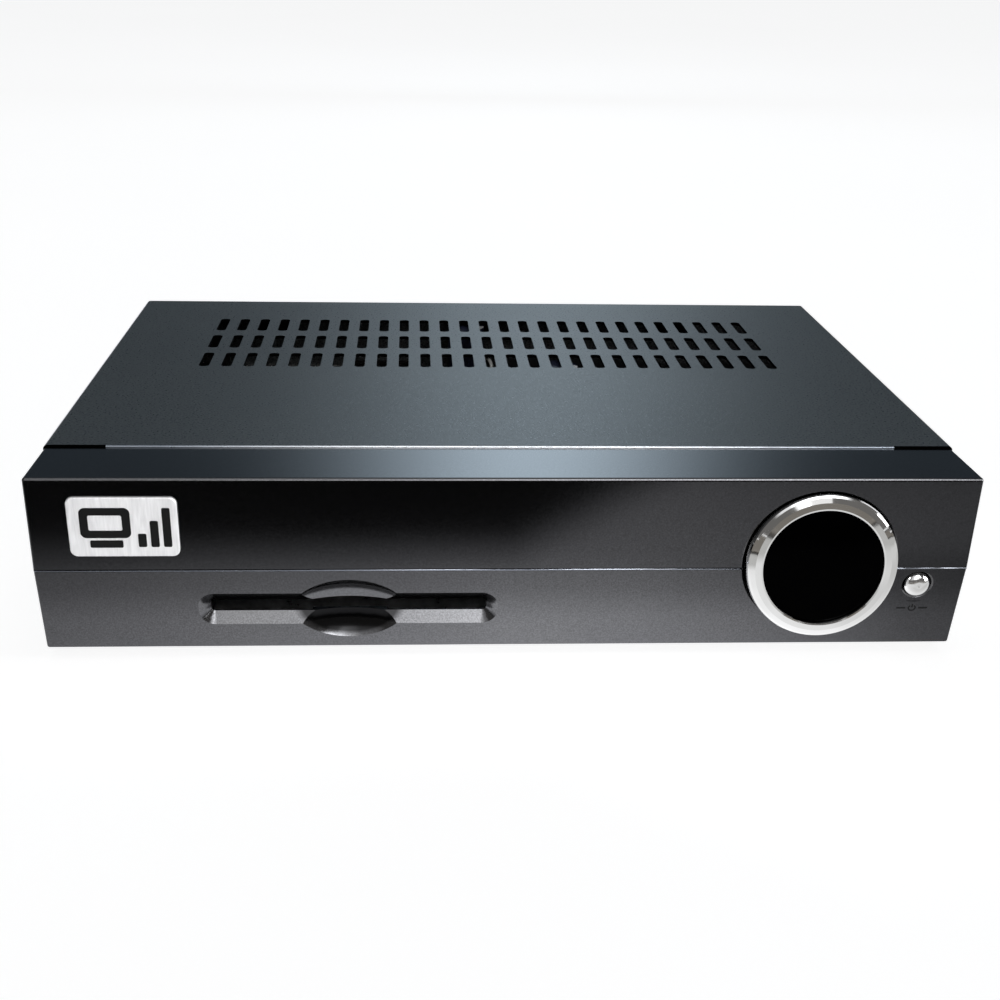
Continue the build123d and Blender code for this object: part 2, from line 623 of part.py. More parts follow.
def board_link_header():
    """Connector block between the front board and the main board."""
    y0 = FRONT_BOARD_Y + BOARD_T
    body = block(54, 74, y0, y0 + 8.5, BOARD_TOP, BOARD_TOP + 2.6)
    slits = []
    for step in range(7):
        x = 56.4 + step * 2.54
        slits.append(block(x - 0.5, x + 0.5, y0 + 1.5, y0 + 7.5, BOARD_TOP + 1.4, BOARD_TOP + 3))
    return body - slits


CARD_Z = FLOOR + SLOT_Z
READER_BACK = -4.0


def contact_places():
    """The eight card contacts, in two rows of four."""
    return [(SLOT_X + (column - 1.5) * 2.54, -20.0 + row * 7.6) for row in (0, 1) for column in range(4)]


def card_reader_frame():
    """Plastic frame around the card's path, with pockets for the contact springs."""
    frame = block(SLOT_X - 30, SLOT_X + 30, -57.0, READER_BACK, BOARD_TOP, CARD_Z + 2.6)
    frame = frame - block(SLOT_X - 27.3, SLOT_X + 27.3, -58, READER_BACK - 2, CARD_Z - 0.5, CARD_Z + 0.5)
    frame = frame - block(SLOT_X - 24, SLOT_X + 24, -52, -28, CARD_Z, CARD_Z + 4)
    for x, y in contact_places():
        frame = frame - block(x - 0.8, x + 0.8, y - 3.0, y + 3.0, CARD_Z + 0.4, CARD_Z + 4)
    mouth = side_profile([
        (-58, CARD_Z + 1.7),
        (-55.5, CARD_Z + 0.5),
        (-55.5, CARD_Z - 0.5),
        (-58, CARD_Z - 0.9),
    ], SLOT_X - 27.3, SLOT_X + 27.3)
    return frame - mouth


def card_contacts():
    """Eight small contact springs."""
    springs = []
    for x, y in contact_places():
        springs.append(side_profile([
            (y - 2.6, CARD_Z + 1.9), (y + 2.6, CARD_Z + 1.9), (y + 2.6, CARD_Z + 1.65),
            (y + 0.4, CARD_Z + 0.62), (y - 0.4, CARD_Z + 0.62), (y - 2.6, CARD_Z + 1.65),
        ], x - 0.45, x + 0.45))
    return group(springs)


def processor():
    """Main chip in a square package."""
    x, y = CHIP_PLACE
    package = slab_z(x, y, 27, 27, BOARD_TOP, BOARD_TOP + 1.2, 0.3)
    return package + slab_z(x, y, 24, 24, BOARD_TOP + 1.2, BOARD_TOP + 2.0, 0.6)


CHIP_PLACE = (-30.0, 22.0)


def heatsink():
    """Finned aluminium block on the main chip."""
    x, y = CHIP_PLACE
    base = BOARD_TOP + 2.0
    fins = slab_z(x, y, 34, 34, base, base + 12)
    gaps = [block(x - 15.2 + 3.4 * step, x - 13.2 + 3.4 * step, y - 18, y + 18, base + 2, base + 13)
            for step in range(9)]
    return fins - gaps


def memory_chips():
    """Two memory chips beside the processor."""
    return group([slab_z(-62, y, 22, 10, BOARD_TOP, BOARD_TOP + 1.1, 0.2) for y in (12, 30)])


def small_chips():
    """Flash memory, power and audio chips."""
    places = [(22, -30, 18, 12), (40, 22, 9, 9), (-74, -20, 8, 6), (30, 34, 10, 6)]
    return group([slab_z(x, y, w, d, BOARD_TOP, BOARD_TOP + 1.4, 0.2) for x, y, w, d in places])


CAPACITORS = [(-4.6, 48.2, 5.0, 29.6), (17.2, 8.0, 5.0, 29.6), (4.0, 22.0, 5.0, 14.0),
              (-78, 20, 4.0, 12), (-78, 32, 4.0, 12), (8, -20, 3.2, 11), (8, -30, 3.2, 11),
              (42, -34, 3.2, 11), (-60, 45, 3.2, 11), (-50, 45, 3.2, 11)]


def electrolytic_capacitors():
    """Round cans with a vent cross on top and a groove near the base."""
    cans = []
    for x, y, r, height in CAPACITORS:
        z = BOARD_TOP
        can = rod_z(x, y, r, z, z + height)
        groove = rod_z(x, y, r + 1, z + 1.4, z + 2.0) - rod_z(x, y, r - 0.35, z + 1.4, z + 2.0)
        cross = Pos(x, y, z + height) * (Box(1.3 * r, 0.3, 0.3) + Box(0.3, 1.3 * r, 0.3))
        cans.append(can - groove - cross)
    return group(cans)


def power_inductors():
    """Squat wound coils of the DC converters."""
    coils = []
    for x, y in [(-70, -38), (-76, -6), (30, -8)]:
        foot = slab_z(x, y, 12, 12, BOARD_TOP, BOARD_TOP + 1.2, 2)
        core = rod_z(x, y, 4.2, BOARD_TOP, BOARD_TOP + 6.5)
        coils.append(foot + core + slab_z(x, y, 12, 12, BOARD_TOP + 5.3, BOARD_TOP + 6.5, 2))
    return group(coils)


def crystal():
    """Metal-can crystal beside the tuner."""
    return slab_z(44, 4, 11, 4.6, BOARD_TOP, BOARD_TOP + 3.6, 2.2)


# ================================================================ rear connectors
TUNER_X = (53.5, 91.0)
TUNER_Y = (7.0, PANEL_Y - 0.3)
TUNER_H = 14.0


def tuner_can():
    """Shielded tuner box, open on top, with a screening wall inside."""
    x0, x1 = TUNER_X
    y0, y1 = TUNER_Y
    can = block(x0, x1, y0, y1, BOARD_TOP, BOARD_TOP + TUNER_H - 0.5)
    can = can - block(x0 + 0.6, x1 - 0.6, y0 + 0.6, y1 - 0.6, BOARD_TOP + 0.6, BOARD_TOP + TUNER_H + 1)
    wall = block(x0 + 0.3, x1 - 0.3, 38, 38.6, BOARD_TOP + 0.3, BOARD_TOP + TUNER_H - 0.5)
    can = can + wall
    return can - [rod_y(x, AERIAL_Z, 2.0, y1 - 2, y1 + 1) for x in AERIAL_X]


def tuner_lid():
    """Pressed lid of the tuner with round dimples."""
    x0, x1 = TUNER_X
    y0, y1 = TUNER_Y
    z = BOARD_TOP + TUNER_H - 0.5
    lid = block(x0, x1, y0, y1, z, z + 0.5)
    middle = (x0 + x1) / 2
    dimples = [rod_z(middle + dx, y, 1.5, z + 0.3, z + 1) for dx in (-12, 0, 12) for y in (16, 30, 46, 60)]
    return lid - dimples


def aerial_connector(x):
    """Threaded coaxial socket: flange on the tuner, then the thread through the rear panel."""
    start = TUNER_Y[1]
    tip = BACK + PLUG_LENGTH
    root = AERIAL_R - 0.45
    points = [(2.8, start), (SHANK_R, start), (SHANK_R, BACK + NUT_FACE), (AERIAL_R, BACK + NUT_FACE)]
    y = BACK + NUT_FACE
    while y + THREAD_PITCH < tip - 0.6:
        points += [(root, y + 0.25), (root, y + 0.3), (AERIAL_R, y + 0.55), (AERIAL_R, y + THREAD_PITCH)]
        y = y + THREAD_PITCH
    points += [(AERIAL_R, tip - 0.4), (AERIAL_R - 0.4, tip), (2.8, tip)]
    return turned_y(points, x, AERIAL_Z)


def aerial_insulators():
    """Dielectric plugs with the pin hole in the middle."""
    plugs = []
    for x in AERIAL_X:
        plug = rod_y(x, AERIAL_Z, 2.75, TUNER_Y[1], BACK + PLUG_LENGTH - 0.5)
        plugs.append(plug - rod_y(x, AERIAL_Z, 0.6, BACK, BACK + PLUG_LENGTH))
    return group(plugs)


def connector_nuts():
    """Hexagonal nuts that clamp the sockets to the rear panel."""
    nuts = []
    for x in AERIAL_X:
        nut = hex_y(x, AERIAL_Z, NUT_ACROSS, BACK, BACK + NUT_FACE - 0.2)
        nuts.append(nut - rod_y(x, AERIAL_Z, SHANK_R + 0.03, BACK - 1, BACK + 4))
    return group(nuts)


SCART_W = 49.0
SCART_H = 15.6
SCART_Z = BOARD_TOP + SCART_H / 2 + 0.4
SCART_FACE = BACK + 2.0


def scart_outline(w, h, slant):
    """Trapezium with one slanting end, as the plug's shroud has."""
    return Polygon((-w / 2, -h / 2), (w / 2, -h / 2), (w / 2, h / 2), (-w / 2 + slant, h / 2), align=None)


def scart_slots():
    """Centres of the contact slots, in two staggered rows."""
    places = []
    for column in range(10):
        places.append((-17.2 + 3.81 * column, 2.3))
        places.append((-15.3 + 3.81 * column * 0.95, -2.3))
    return places


def scart_socket():
    """Black socket block: a channel for the plug's shroud around a core with contact slots."""
    body = slab_y(SCART_X, SCART_Z, SCART_W, SCART_H, 52, SCART_FACE, 1.0)
    plane = rear_plane(SCART_X, SCART_Z, SCART_FACE)
    channel = extrude(plane * (scart_outline(46, 12.4, 5) - scart_outline(42.4, 8.8, 4)), -9)
    slots = [extrude(plane * (Pos(u, v) * Rectangle(1.3, 3.2)), -8) for u, v in scart_slots()]
    return body - channel - slots


def scart_contacts():
    """Contact blades inside the slots."""
    plane = rear_plane(SCART_X, SCART_Z, SCART_FACE - 7.9)
    return group([extrude(plane * (Pos(u, v) * Rectangle(0.5, 2.8)), 6.5) for u, v in scart_slots()])


ETHERNET_W = 16.0
ETHERNET_H = 13.4
ETHERNET_Z = BOARD_TOP + ETHERNET_H / 2
ETHERNET_FACE = BACK + 1.0


def ethernet_jack():
    """Shielded network socket with a stepped latch opening."""
    x, z = ETHERNET_X, ETHERNET_Z
    body = slab_y(x, z, ETHERNET_W, ETHERNET_H, ETHERNET_FACE - 21, ETHERNET_FACE, 0.4)
    mouth = block(x - 5.9, x + 5.9, ETHERNET_FACE - 13, ETHERNET_FACE + 1, z - 1.7, z + 5.1)
    latch = block(x - 3.1, x + 3.1, ETHERNET_FACE - 13, ETHERNET_FACE + 1, z - 3.4, z - 1.6)
    key = block(x - 1.6, x + 1.6, ETHERNET_FACE - 13, ETHERNET_FACE + 1, z - 4.8, z - 3.3)
    return body - mouth - latch - key


def ethernet_contacts():
    """Eight spring wires under the socket's roof."""
    wires = []
    y = ETHERNET_FACE
    z = ETHERNET_Z
    for step in range(8):
        x = ETHERNET_X + (step - 3.5) * 1.27
        wires.append(side_profile([
            (y - 12.9, z + 3.6),
            (y - 3.5, z + 5.05),
            (y - 3.1, z + 5.05),
            (y - 12.9, z + 3.2),
        ], x - 0.25, x + 0.25))
    return group(wires)


SERIAL_W = 17.0
SERIAL_H = 8.4
SERIAL_Z = BOARD_TOP + 6.4
SERIAL_FACE = BACK + 5.4


def d_shell(w, h, y0, y1):
    """D-shaped prism, wider at the top."""
    drop = 1.5
    corners = [(-w / 2, h / 2), (w / 2, h / 2), (w / 2 - drop, -h / 2), (-w / 2 + drop, -h / 2)]
    outline = Polygon(*corners, align=None)
    prism = extrude(rear_plane(SERIAL_X, SERIAL_Z, y0) * outline, y1 - y0, dir=(0, 1, 0))
    return fillet(prism.edges().filter_by(Axis.Y), 1.8)


def serial_port_shell():
    """Metal flange behind the panel and the D-shaped shell through it."""
    flange = slab_y(SERIAL_X, SERIAL_Z, 30.8, 12.4, PANEL_Y - 0.9, PANEL_Y, 0.8)
    shell = d_shell(SERIAL_W, SERIAL_H, PANEL_Y - 0.9, SERIAL_FACE)
    hollow = d_shell(SERIAL_W - 1.0, SERIAL_H - 1.0, PANEL_Y - 3, SERIAL_FACE + 1)
    holes = [rod_y(SERIAL_X + side * JACK_SCREW_GAP / 2, SERIAL_Z, 1.6, PANEL_Y - 3, BACK)
             for side in (-1, 1)]
    return (flange + shell) - hollow - holes


def serial_port_insert():
    """Insulator with nine pin sockets, on a body that stands on the board."""
    insert = d_shell(SERIAL_W - 1.1, SERIAL_H - 1.1, PANEL_Y - 4, SERIAL_FACE - 0.3)
    body = block(SERIAL_X - 15, SERIAL_X + 15, PANEL_Y - 9, PANEL_Y - 1.0, BOARD_TOP, BOARD_TOP + 11)
    cutters = []
    for row, count in ((1.42, 5), (-1.42, 4)):
        for step in range(count):
            x = SERIAL_X + (step - (count - 1) / 2) * 2.77
            cutters.append(rod_y(x, SERIAL_Z + row, 0.55, BACK - 2, SERIAL_FACE))
    for side in (-1, 1):
        cutters.append(rod_y(SERIAL_X + side * JACK_SCREW_GAP / 2, SERIAL_Z, 1.6, PANEL_Y - 8, PANEL_Y))
    return (insert + body) - cutters


def jack_screws():
    """Hexagonal jack screws with a tapped end, one each side of the serial port."""
    screws = []
    for side in (-1, 1):
        x = SERIAL_X + side * JACK_SCREW_GAP / 2
        head = hex_y(x, SERIAL_Z, 4.8, BACK, BACK + 5.2) - rod_y(x, SERIAL_Z, 1.25, BACK + 0.7, BACK + 6)
        screws.append(head + rod_y(x, SERIAL_Z, 1.4, PANEL_Y - 5, BACK + 0.1))
    return group(screws)


OPTICAL_W = 9.8
OPTICAL_H = 10.4
OPTICAL_Z = BOARD_TOP + OPTICAL_H / 2 + 0.1
OPTICAL_FACE = BACK + 1.0
SHUTTER_PIN_Y = OPTICAL_FACE - 1.6
SHUTTER_PIN_Z = OPTICAL_Z + 3.4
CAVITY_HALF = 3.4
SHUTTER_PIN_R = 0.6


def optical_output():
    """Black socket with a square cavity, hinge holes for its shutter and the emitter at the end."""
    x, z = OPTICAL_X, OPTICAL_Z
    body = slab_y(x, z, OPTICAL_W, OPTICAL_H, OPTICAL_FACE - 15, OPTICAL_FACE, 0.5)
    cavity = block(x - CAVITY_HALF, x + CAVITY_HALF, OPTICAL_FACE - 10, OPTICAL_FACE + 1,
                   z - CAVITY_HALF, z + CAVITY_HALF + 0.9)
    emitter = rod_y(x, z - 0.3, 1.2, OPTICAL_FACE - 11, OPTICAL_FACE - 9.2)
    pin_hole = rod_x(SHUTTER_PIN_Y, SHUTTER_PIN_Z, SHUTTER_PIN_R + 0.05, x - 4.1, x + 4.1)
    return body - cavity - pin_hole + emitter


def optical_shutter():
    """Dust flap on its hinge pin, closed at rest."""
    x = OPTICAL_X
    half = CAVITY_HALF - 0.15
    low = OPTICAL_Z - CAVITY_HALF + 0.2
    flap = block(x - half, x + half, SHUTTER_PIN_Y - 0.35, SHUTTER_PIN_Y + 0.35, low, SHUTTER_PIN_Z)
    return flap + rod_x(SHUTTER_PIN_Y, SHUTTER_PIN_Z, SHUTTER_PIN_R, x - 4.0, x + 4.0)


DC_W = 9.4
DC_H = 11.0
DC_FACE = BACK + 1.2


def dc_jack():
    """Low-voltage socket: a block with a round bore."""
    body = slab_y(POWER_X, DC_Z, DC_W, DC_H, DC_FACE - 14, DC_FACE, 0.5)
    body = body - rod_y(POWER_X, DC_Z, 3.1, DC_FACE - 10, DC_FACE + 1)
    lead_in = [(3.1, DC_FACE - 0.8), (3.7, DC_FACE + 0.1), (0, DC_FACE + 0.1), (0, DC_FACE - 0.8)]
    return body - turned_y(lead_in, POWER_X, DC_Z)


def dc_pin():
    """Centre pin of the low-voltage socket."""
    pin = rod_y(POWER_X, DC_Z, 1.0, DC_FACE - 10, DC_FACE - 1.2)
    return pin + Pos(POWER_X, DC_FACE - 1.2, DC_Z) * Sphere(1.0)


ROCKER_SLEEVE_X = 9.7
ROCKER_SLEEVE_Z = 6.7
ROCKER_OPEN_X = 9.1
ROCKER_OPEN_Z = 5.7
ROCKER_ARC_R = 8.85
ROCKER_HALF_Z = 5.45
ROCKER_PIVOT_Y = BACK - 2.6
ROCKER_PIN_R = 1.2
ROCKER_TILT = 11.0
ROCKER_FLANGE = 1.5


def rocker_frame():
    """Snap-in switch body with a raised rim."""
    x, z = POWER_X, ROCKER_Z
    rim = slab_y(x, z, 21.6, 15.6, BACK, BACK + ROCKER_FLANGE, 1.2)
    rim = chamfer(rim.faces().sort_by(Axis.Y)[-1].edges(), 0.4)
    body = slab_y(x, z, 2 * ROCKER_SLEEVE_X, 2 * ROCKER_SLEEVE_Z, BACK - 12, BACK)
    frame = rim + body
    frame = frame - slab_y(x, z, 2 * ROCKER_OPEN_X, 2 * ROCKER_OPEN_Z, BACK - 9.5, BACK + 3)
    return frame - rod_z(x, ROCKER_PIVOT_Y, ROCKER_PIN_R + 0.06, z - 6.4, z + 6.4)


def power_rocker():
    """Rocker with two dished halves on a pin, tilted to one side at rest."""
    high = math.sqrt(ROCKER_ARC_R ** 2 - 7.5 ** 2)
    low_x = math.sqrt(ROCKER_ARC_R ** 2 - 0.8 ** 2)
    side_x = ROCKER_ARC_R * math.cos(math.radians(15))
    side_y = ROCKER_ARC_R * math.sin(math.radians(15))
    outline = make_face([
        ThreePointArc((-7.5, high), (-3.8, 2.9), (0, 2.3)),
        ThreePointArc((0, 2.3), (3.8, 2.9), (7.5, high)),
        ThreePointArc((7.5, high), (side_x, side_y), (low_x, -0.8)),
        Line((low_x, -0.8), (3.0, -3.4)),
        Line((3.0, -3.4), (-3.0, -3.4)),
        Line((-3.0, -3.4), (-low_x, -0.8)),
        ThreePointArc((-low_x, -0.8), (-side_x, side_y), (-7.5, high)),
    ])
    body = extrude(Plane.XY * outline, ROCKER_HALF_Z, both=True)
    body = body + rod_z(0, 0, ROCKER_PIN_R, -6.3, 6.3)
    return Pos(POWER_X, ROCKER_PIVOT_Y, ROCKER_Z) * Rot(0, 0, ROCKER_TILT) * body


def rocker_terminals():
    """Two solder tags behind the switch."""
    tags = []
    for x in (POWER_X - 5, POWER_X + 5):
        tags.append(block(x - 0.4, x + 0.4, BACK - 19, BACK - 12, ROCKER_Z - 2.4, ROCKER_Z + 2.4))
    return group(tags)


# ================================================================ all nodes
NODES = {
    "top_cover": top_cover,
    "base_tray": base_tray,
    "rear_panel": rear_panel,
    "front_bezel": front_bezel,
    "window_ring": window_ring,
    "display_window": display_window,
    "window_housing": window_housing,
    "standby_button": standby_button,
    "tact_plunger": tact_plunger,
    "tact_switch": tact_switch,
    "badge_plate": badge_plate,
    "badge_emblem": badge_emblem,
    "rubber_feet": rubber_feet,
    "cover_screws": lambda: rear_screws([(x, COVER_SCREW_Z) for x in COVER_SCREW_X], 5.0),
    "panel_screws": lambda: rear_screws(PANEL_SCREWS, 5.0),
    "main_board": main_board,
    "board_standoffs": board_standoffs,
    "board_screws": board_screws,
    "front_board": front_board,
    "front_board_screws": front_board_screws,
    "segment_display": segment_display,
    "ir_receiver": ir_receiver,
    "board_link_header": board_link_header,
    "card_reader_frame": card_reader_frame,
    "card_contacts": card_contacts,
    "processor": processor,
    "heatsink": heatsink,
    "memory_chips": memory_chips,
    "small_chips": small_chips,
    "electrolytic_capacitors": electrolytic_capacitors,
    "power_inductors": power_inductors,
    "crystal": crystal,
    "tuner_can": tuner_can,
    "tuner_lid": tuner_lid,
    "lnb_input_connector": lambda: aerial_connector(AERIAL_X[0]),
    "lnb_loop_connector": lambda: aerial_connector(AERIAL_X[1]),
    "aerial_insulators": aerial_insulators,
    "connector_nuts": connector_nuts,
    "scart_socket": scart_socket,
    "scart_contacts": scart_contacts,
    "ethernet_jack": ethernet_jack,
    "ethernet_contacts": ethernet_contacts,
    "serial_port_shell": serial_port_shell,
    "serial_port_insert": serial_port_insert,
    "jack_screws": jack_screws,
    "optical_output": optical_output,
    "optical_shutter": optical_shutter,
    "dc_jack": dc_jack,
    "dc_pin": dc_pin,
    "rocker_frame": rocker_frame,
    "power_rocker": power_rocker,
    "rocker_terminals": rocker_terminals,
}


def main():
    """Build every node and write it as its own STEP file."""
    os.makedirs("parts", exist_ok=True)
    for name, make in NODES.items():
        shape = make()
        export_step(shape, f"parts/{name}.step")


main()
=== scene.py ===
"""Looks of the set-top receiver: finishes for every CAD piece, small Blender details, light and camera.

Metres, in the CAD's own frame: +X to the viewer's right, the front faces -Y, +Z up.
"""
import json
import math

import bmesh
import bpy
from mathutils import Matrix, Vector


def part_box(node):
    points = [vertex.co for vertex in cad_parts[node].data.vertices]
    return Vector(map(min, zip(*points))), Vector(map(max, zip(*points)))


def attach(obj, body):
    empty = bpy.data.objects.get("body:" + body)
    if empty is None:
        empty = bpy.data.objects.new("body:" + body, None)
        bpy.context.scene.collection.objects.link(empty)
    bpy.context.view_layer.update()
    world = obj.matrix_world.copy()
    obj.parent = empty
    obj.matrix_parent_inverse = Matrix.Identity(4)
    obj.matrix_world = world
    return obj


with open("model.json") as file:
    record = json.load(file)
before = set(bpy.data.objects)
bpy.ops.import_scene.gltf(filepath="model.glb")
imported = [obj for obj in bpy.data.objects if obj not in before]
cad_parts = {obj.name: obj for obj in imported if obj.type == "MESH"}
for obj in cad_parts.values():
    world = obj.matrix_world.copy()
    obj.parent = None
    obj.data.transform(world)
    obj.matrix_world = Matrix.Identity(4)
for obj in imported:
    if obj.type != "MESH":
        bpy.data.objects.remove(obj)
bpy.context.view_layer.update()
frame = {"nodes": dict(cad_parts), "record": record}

nodes = frame["nodes"]

# the CAD's own places and sizes that finishes, lights and small pieces refer to
COVER_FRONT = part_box("top_cover")[0][1]
COVER_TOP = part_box("top_cover")[1][2]
COVER_SHEET = 0.0007                        # thickness of its steel
COVER_EDGE = (COVER_TOP - 0.003, COVER_TOP + 0.001)     # heights that take in its top and rolled edge
COVER_HALF_INSIDE = 0.0941
COVER_BACK_INSIDE = 0.0670
VENTS_HALF_X = 0.0735                       # the top vents lie within these
VENTS_Y = (-0.02, 0.06)
FRONT_Y = -0.0793                           # front top edge of the bezel
BEZEL_BACK = -0.0597                        # rear edge of its top strip
HALF_GAP = 0.0822                           # beyond this the joint to the cover is an open gap
GAP_DEPTH = 0.00105
LOWER_TILT = math.radians(13.9)             # of the bezel's lower face
BREAK_HEIGHT = 0.0225                       # where the bezel's upper and lower face meet
BREAK_SETBACK = 0.00212                     # how far behind FRONT_Y they meet
MOULDING_BACK = 0.0086                      # how far behind FRONT_Y the bezel's paint ends
MOULDING_HALF_INSIDE = 0.0930
MOULDING_FLOOR = 0.0044
SCOOP_ARC = (-0.0324, 0.0181, 0.0128)       # x, z and radius of the scoop's lower outline
SCOOP_TOP = 0.0118
STANDBY_MARK = (0.0850, 0.0122)             # x and z of the print under the button
INDUCTORS = ((-0.070, -0.038), (-0.076, -0.006), (0.030, -0.008))       # x and y of their middles
REAR_PANEL_INSIDE = 0.06745                 # y of its inner face
# painted glints of metal on the tall capacitors' tops
GLINT_SPOTS = ((-0.0005, 0.0465), (0.0206, 0.0072))      # x and y, on the capacitors' tops
GLINT_SPOT_R = 0.0017

# base colours that finishes share
# near-black of painted shade in openings, gaps and the case's inside
SHADE_BLACK = (0.002, 0.002, 0.002)
# steel of the cover's front edge: brightest and dimmest colour of its painted highlight
EDGE_HIGHLIGHT_STEEL = (0.80, 0.83, 0.86)
EDGE_FADE_STEEL = (0.26, 0.29, 0.33)


# ================================================================ material helpers
class Finish:
    """A procedural material being put together around one Principled shader."""

    def __init__(self, name, **values):
        self.material = bpy.data.materials.new(name)
        self.material.use_nodes = True
        self.tree = self.material.node_tree
        self.shader = self.tree.nodes["Principled BSDF"]
        self.place = self.tree.nodes.new("ShaderNodeTexCoord").outputs["Object"]
        for key, value in values.items():
            self.shader.inputs[key.replace("_", " ")].default_value = value

    def node(self, kind, **values):
        """A new node with values set on its sockets, or on itself for settings."""
        made = self.tree.nodes.new(kind)
        for key, value in values.items():
            if hasattr(made, key):
                setattr(made, key, value)
            else:
                made.inputs[key.replace("_", " ")].default_value = value
        return made

    def link(self, output, target):
        self.tree.links.new(output, target)

    def stretched(self, scale):
        """Object coordinates multiplied by a scale per axis."""
        mapping = self.node("ShaderNodeMapping", Scale=scale)
        self.link(self.place, mapping.inputs["Vector"])
        return mapping.outputs["Vector"]

    def noise(self, scale, detail=2.0, rough=0.5, vector=None):
        """Noise value from 0 to 1; scale is in features per metre."""
        made = self.node("ShaderNodeTexNoise", Scale=scale, Detail=detail, Roughness=rough)
        self.link(vector or self.place, made.inputs["Vector"])
        return made.outputs["Fac"]

    def cells(self, scale):
        """Distance from the middle of random cells."""
        made = self.node("ShaderNodeTexVoronoi", Scale=scale)
        self.link(self.place, made.inputs["Vector"])
        return made.outputs["Distance"]

    def ramp(self, value, *stops):
        """Colour ramp over a value; stops are (position, (r, g, b))."""
        made = self.node("ShaderNodeValToRGB")
        points = made.color_ramp.elements
        while len(points) < len(stops):
            points.new(0.5)
        for point, (position, colour) in zip(points, stops):
            point.position = position
            point.color = (*colour, 1.0)
        self.link(value, made.inputs["Fac"])
        return made.outputs["Color"]

    def span(self, value, low, high, start=0.0, end=1.0):
        """A value mapped from start..end to low..high."""
        made = self.node("ShaderNodeMapRange")
        made.inputs["From Min"].default_value = start
        made.inputs["From Max"].default_value = end
        made.inputs["To Min"].default_value = low
        made.inputs["To Max"].default_value = high
        self.link(value, made.inputs["Value"])
        return made.outputs["Result"]

    def mix(self, factor, first, second, blend="MIX"):
        """Two colours mixed; each is a socket or an (r, g, b)."""
        made = self.node("ShaderNodeMix", data_type="RGBA", blend_type=blend)
        if isinstance(factor, float):
            made.inputs["Factor"].default_value = factor
        else:
            self.link(factor, made.inputs["Factor"])
        for socket, colour in ((made.inputs[6], first), (made.inputs[7], second)):
            if isinstance(colour, tuple):
                socket.default_value = (*colour, 1.0)
            else:
                self.link(colour, socket)
        return made.outputs[2]

    def maths(self, operation, first, second=0.0):
        """A sum, product or comparison of two values or sockets."""
        made = self.node("ShaderNodeMath", operation=operation)
        for socket, value in zip(made.inputs, (first, second)):
            if isinstance(value, (int, float)):
                socket.default_value = value
            else:
                self.link(value, socket)
        return made.outputs["Value"]

    def minus(self, first, second):
        """One value less another."""
        return self.maths("SUBTRACT", first, second)

    def unsigned(self, value):
        """A value without its sign."""
        return self.maths("ABSOLUTE", value)

    def squares(self, *values):
        """The sum of two values' squares."""
        first, second = (self.product(value, value) for value in values)
        return self.maths("ADD", first, second)

    def above(self, value, limit):
        """1 where a value is over a limit, else 0."""
        return self.maths("GREATER_THAN", value, limit)

    def under(self, value, limit):
        """1 where a value is below a limit, else 0."""
        return self.maths("LESS_THAN", value, limit)

    def within(self, value, low, high):
        """1 where a value lies between two limits, else 0."""
        return self.product(self.above(value, low), self.under(value, high))

    def product(self, first, *others):
        """The product of factors; of masks, where all of them hold."""
        for other in others:
            first = self.maths("MULTIPLY", first, other)
        return first

    def greatest(self, first, *others):
        """The greatest value; of masks, where any of them holds."""
        for other in others:
            first = self.maths("MAXIMUM", first, other)
        return first

    def normal_z(self):
        """How far the surface faces up, from -1 to 1."""
        geometry = self.node("ShaderNodeNewGeometry")
        split = self.node("ShaderNodeSeparateXYZ")
        self.link(geometry.outputs["Normal"], split.inputs["Vector"])
        return split.outputs["Z"]

    def colour(self, socket):
        self.link(socket, self.shader.inputs["Base Color"])

    def metallic(self, socket):
        self.link(socket, self.shader.inputs["Metallic"])

    def roughness(self, socket):
        self.link(socket, self.shader.inputs["Roughness"])

    def bump(self, height, depth, strength=1.0):
        """Surface relief, its full depth in metres."""
        made = self.node("ShaderNodeBump", Strength=strength, Distance=depth)
        self.link(height, made.inputs["Height"])
        self.link(made.outputs["Normal"], self.shader.inputs["Normal"])

    def split_axes(self):
        """The X, Y and Z of the object coordinates."""
        made = self.node("ShaderNodeSeparateXYZ")
        self.link(self.place, made.inputs["Vector"])
        return made.outputs


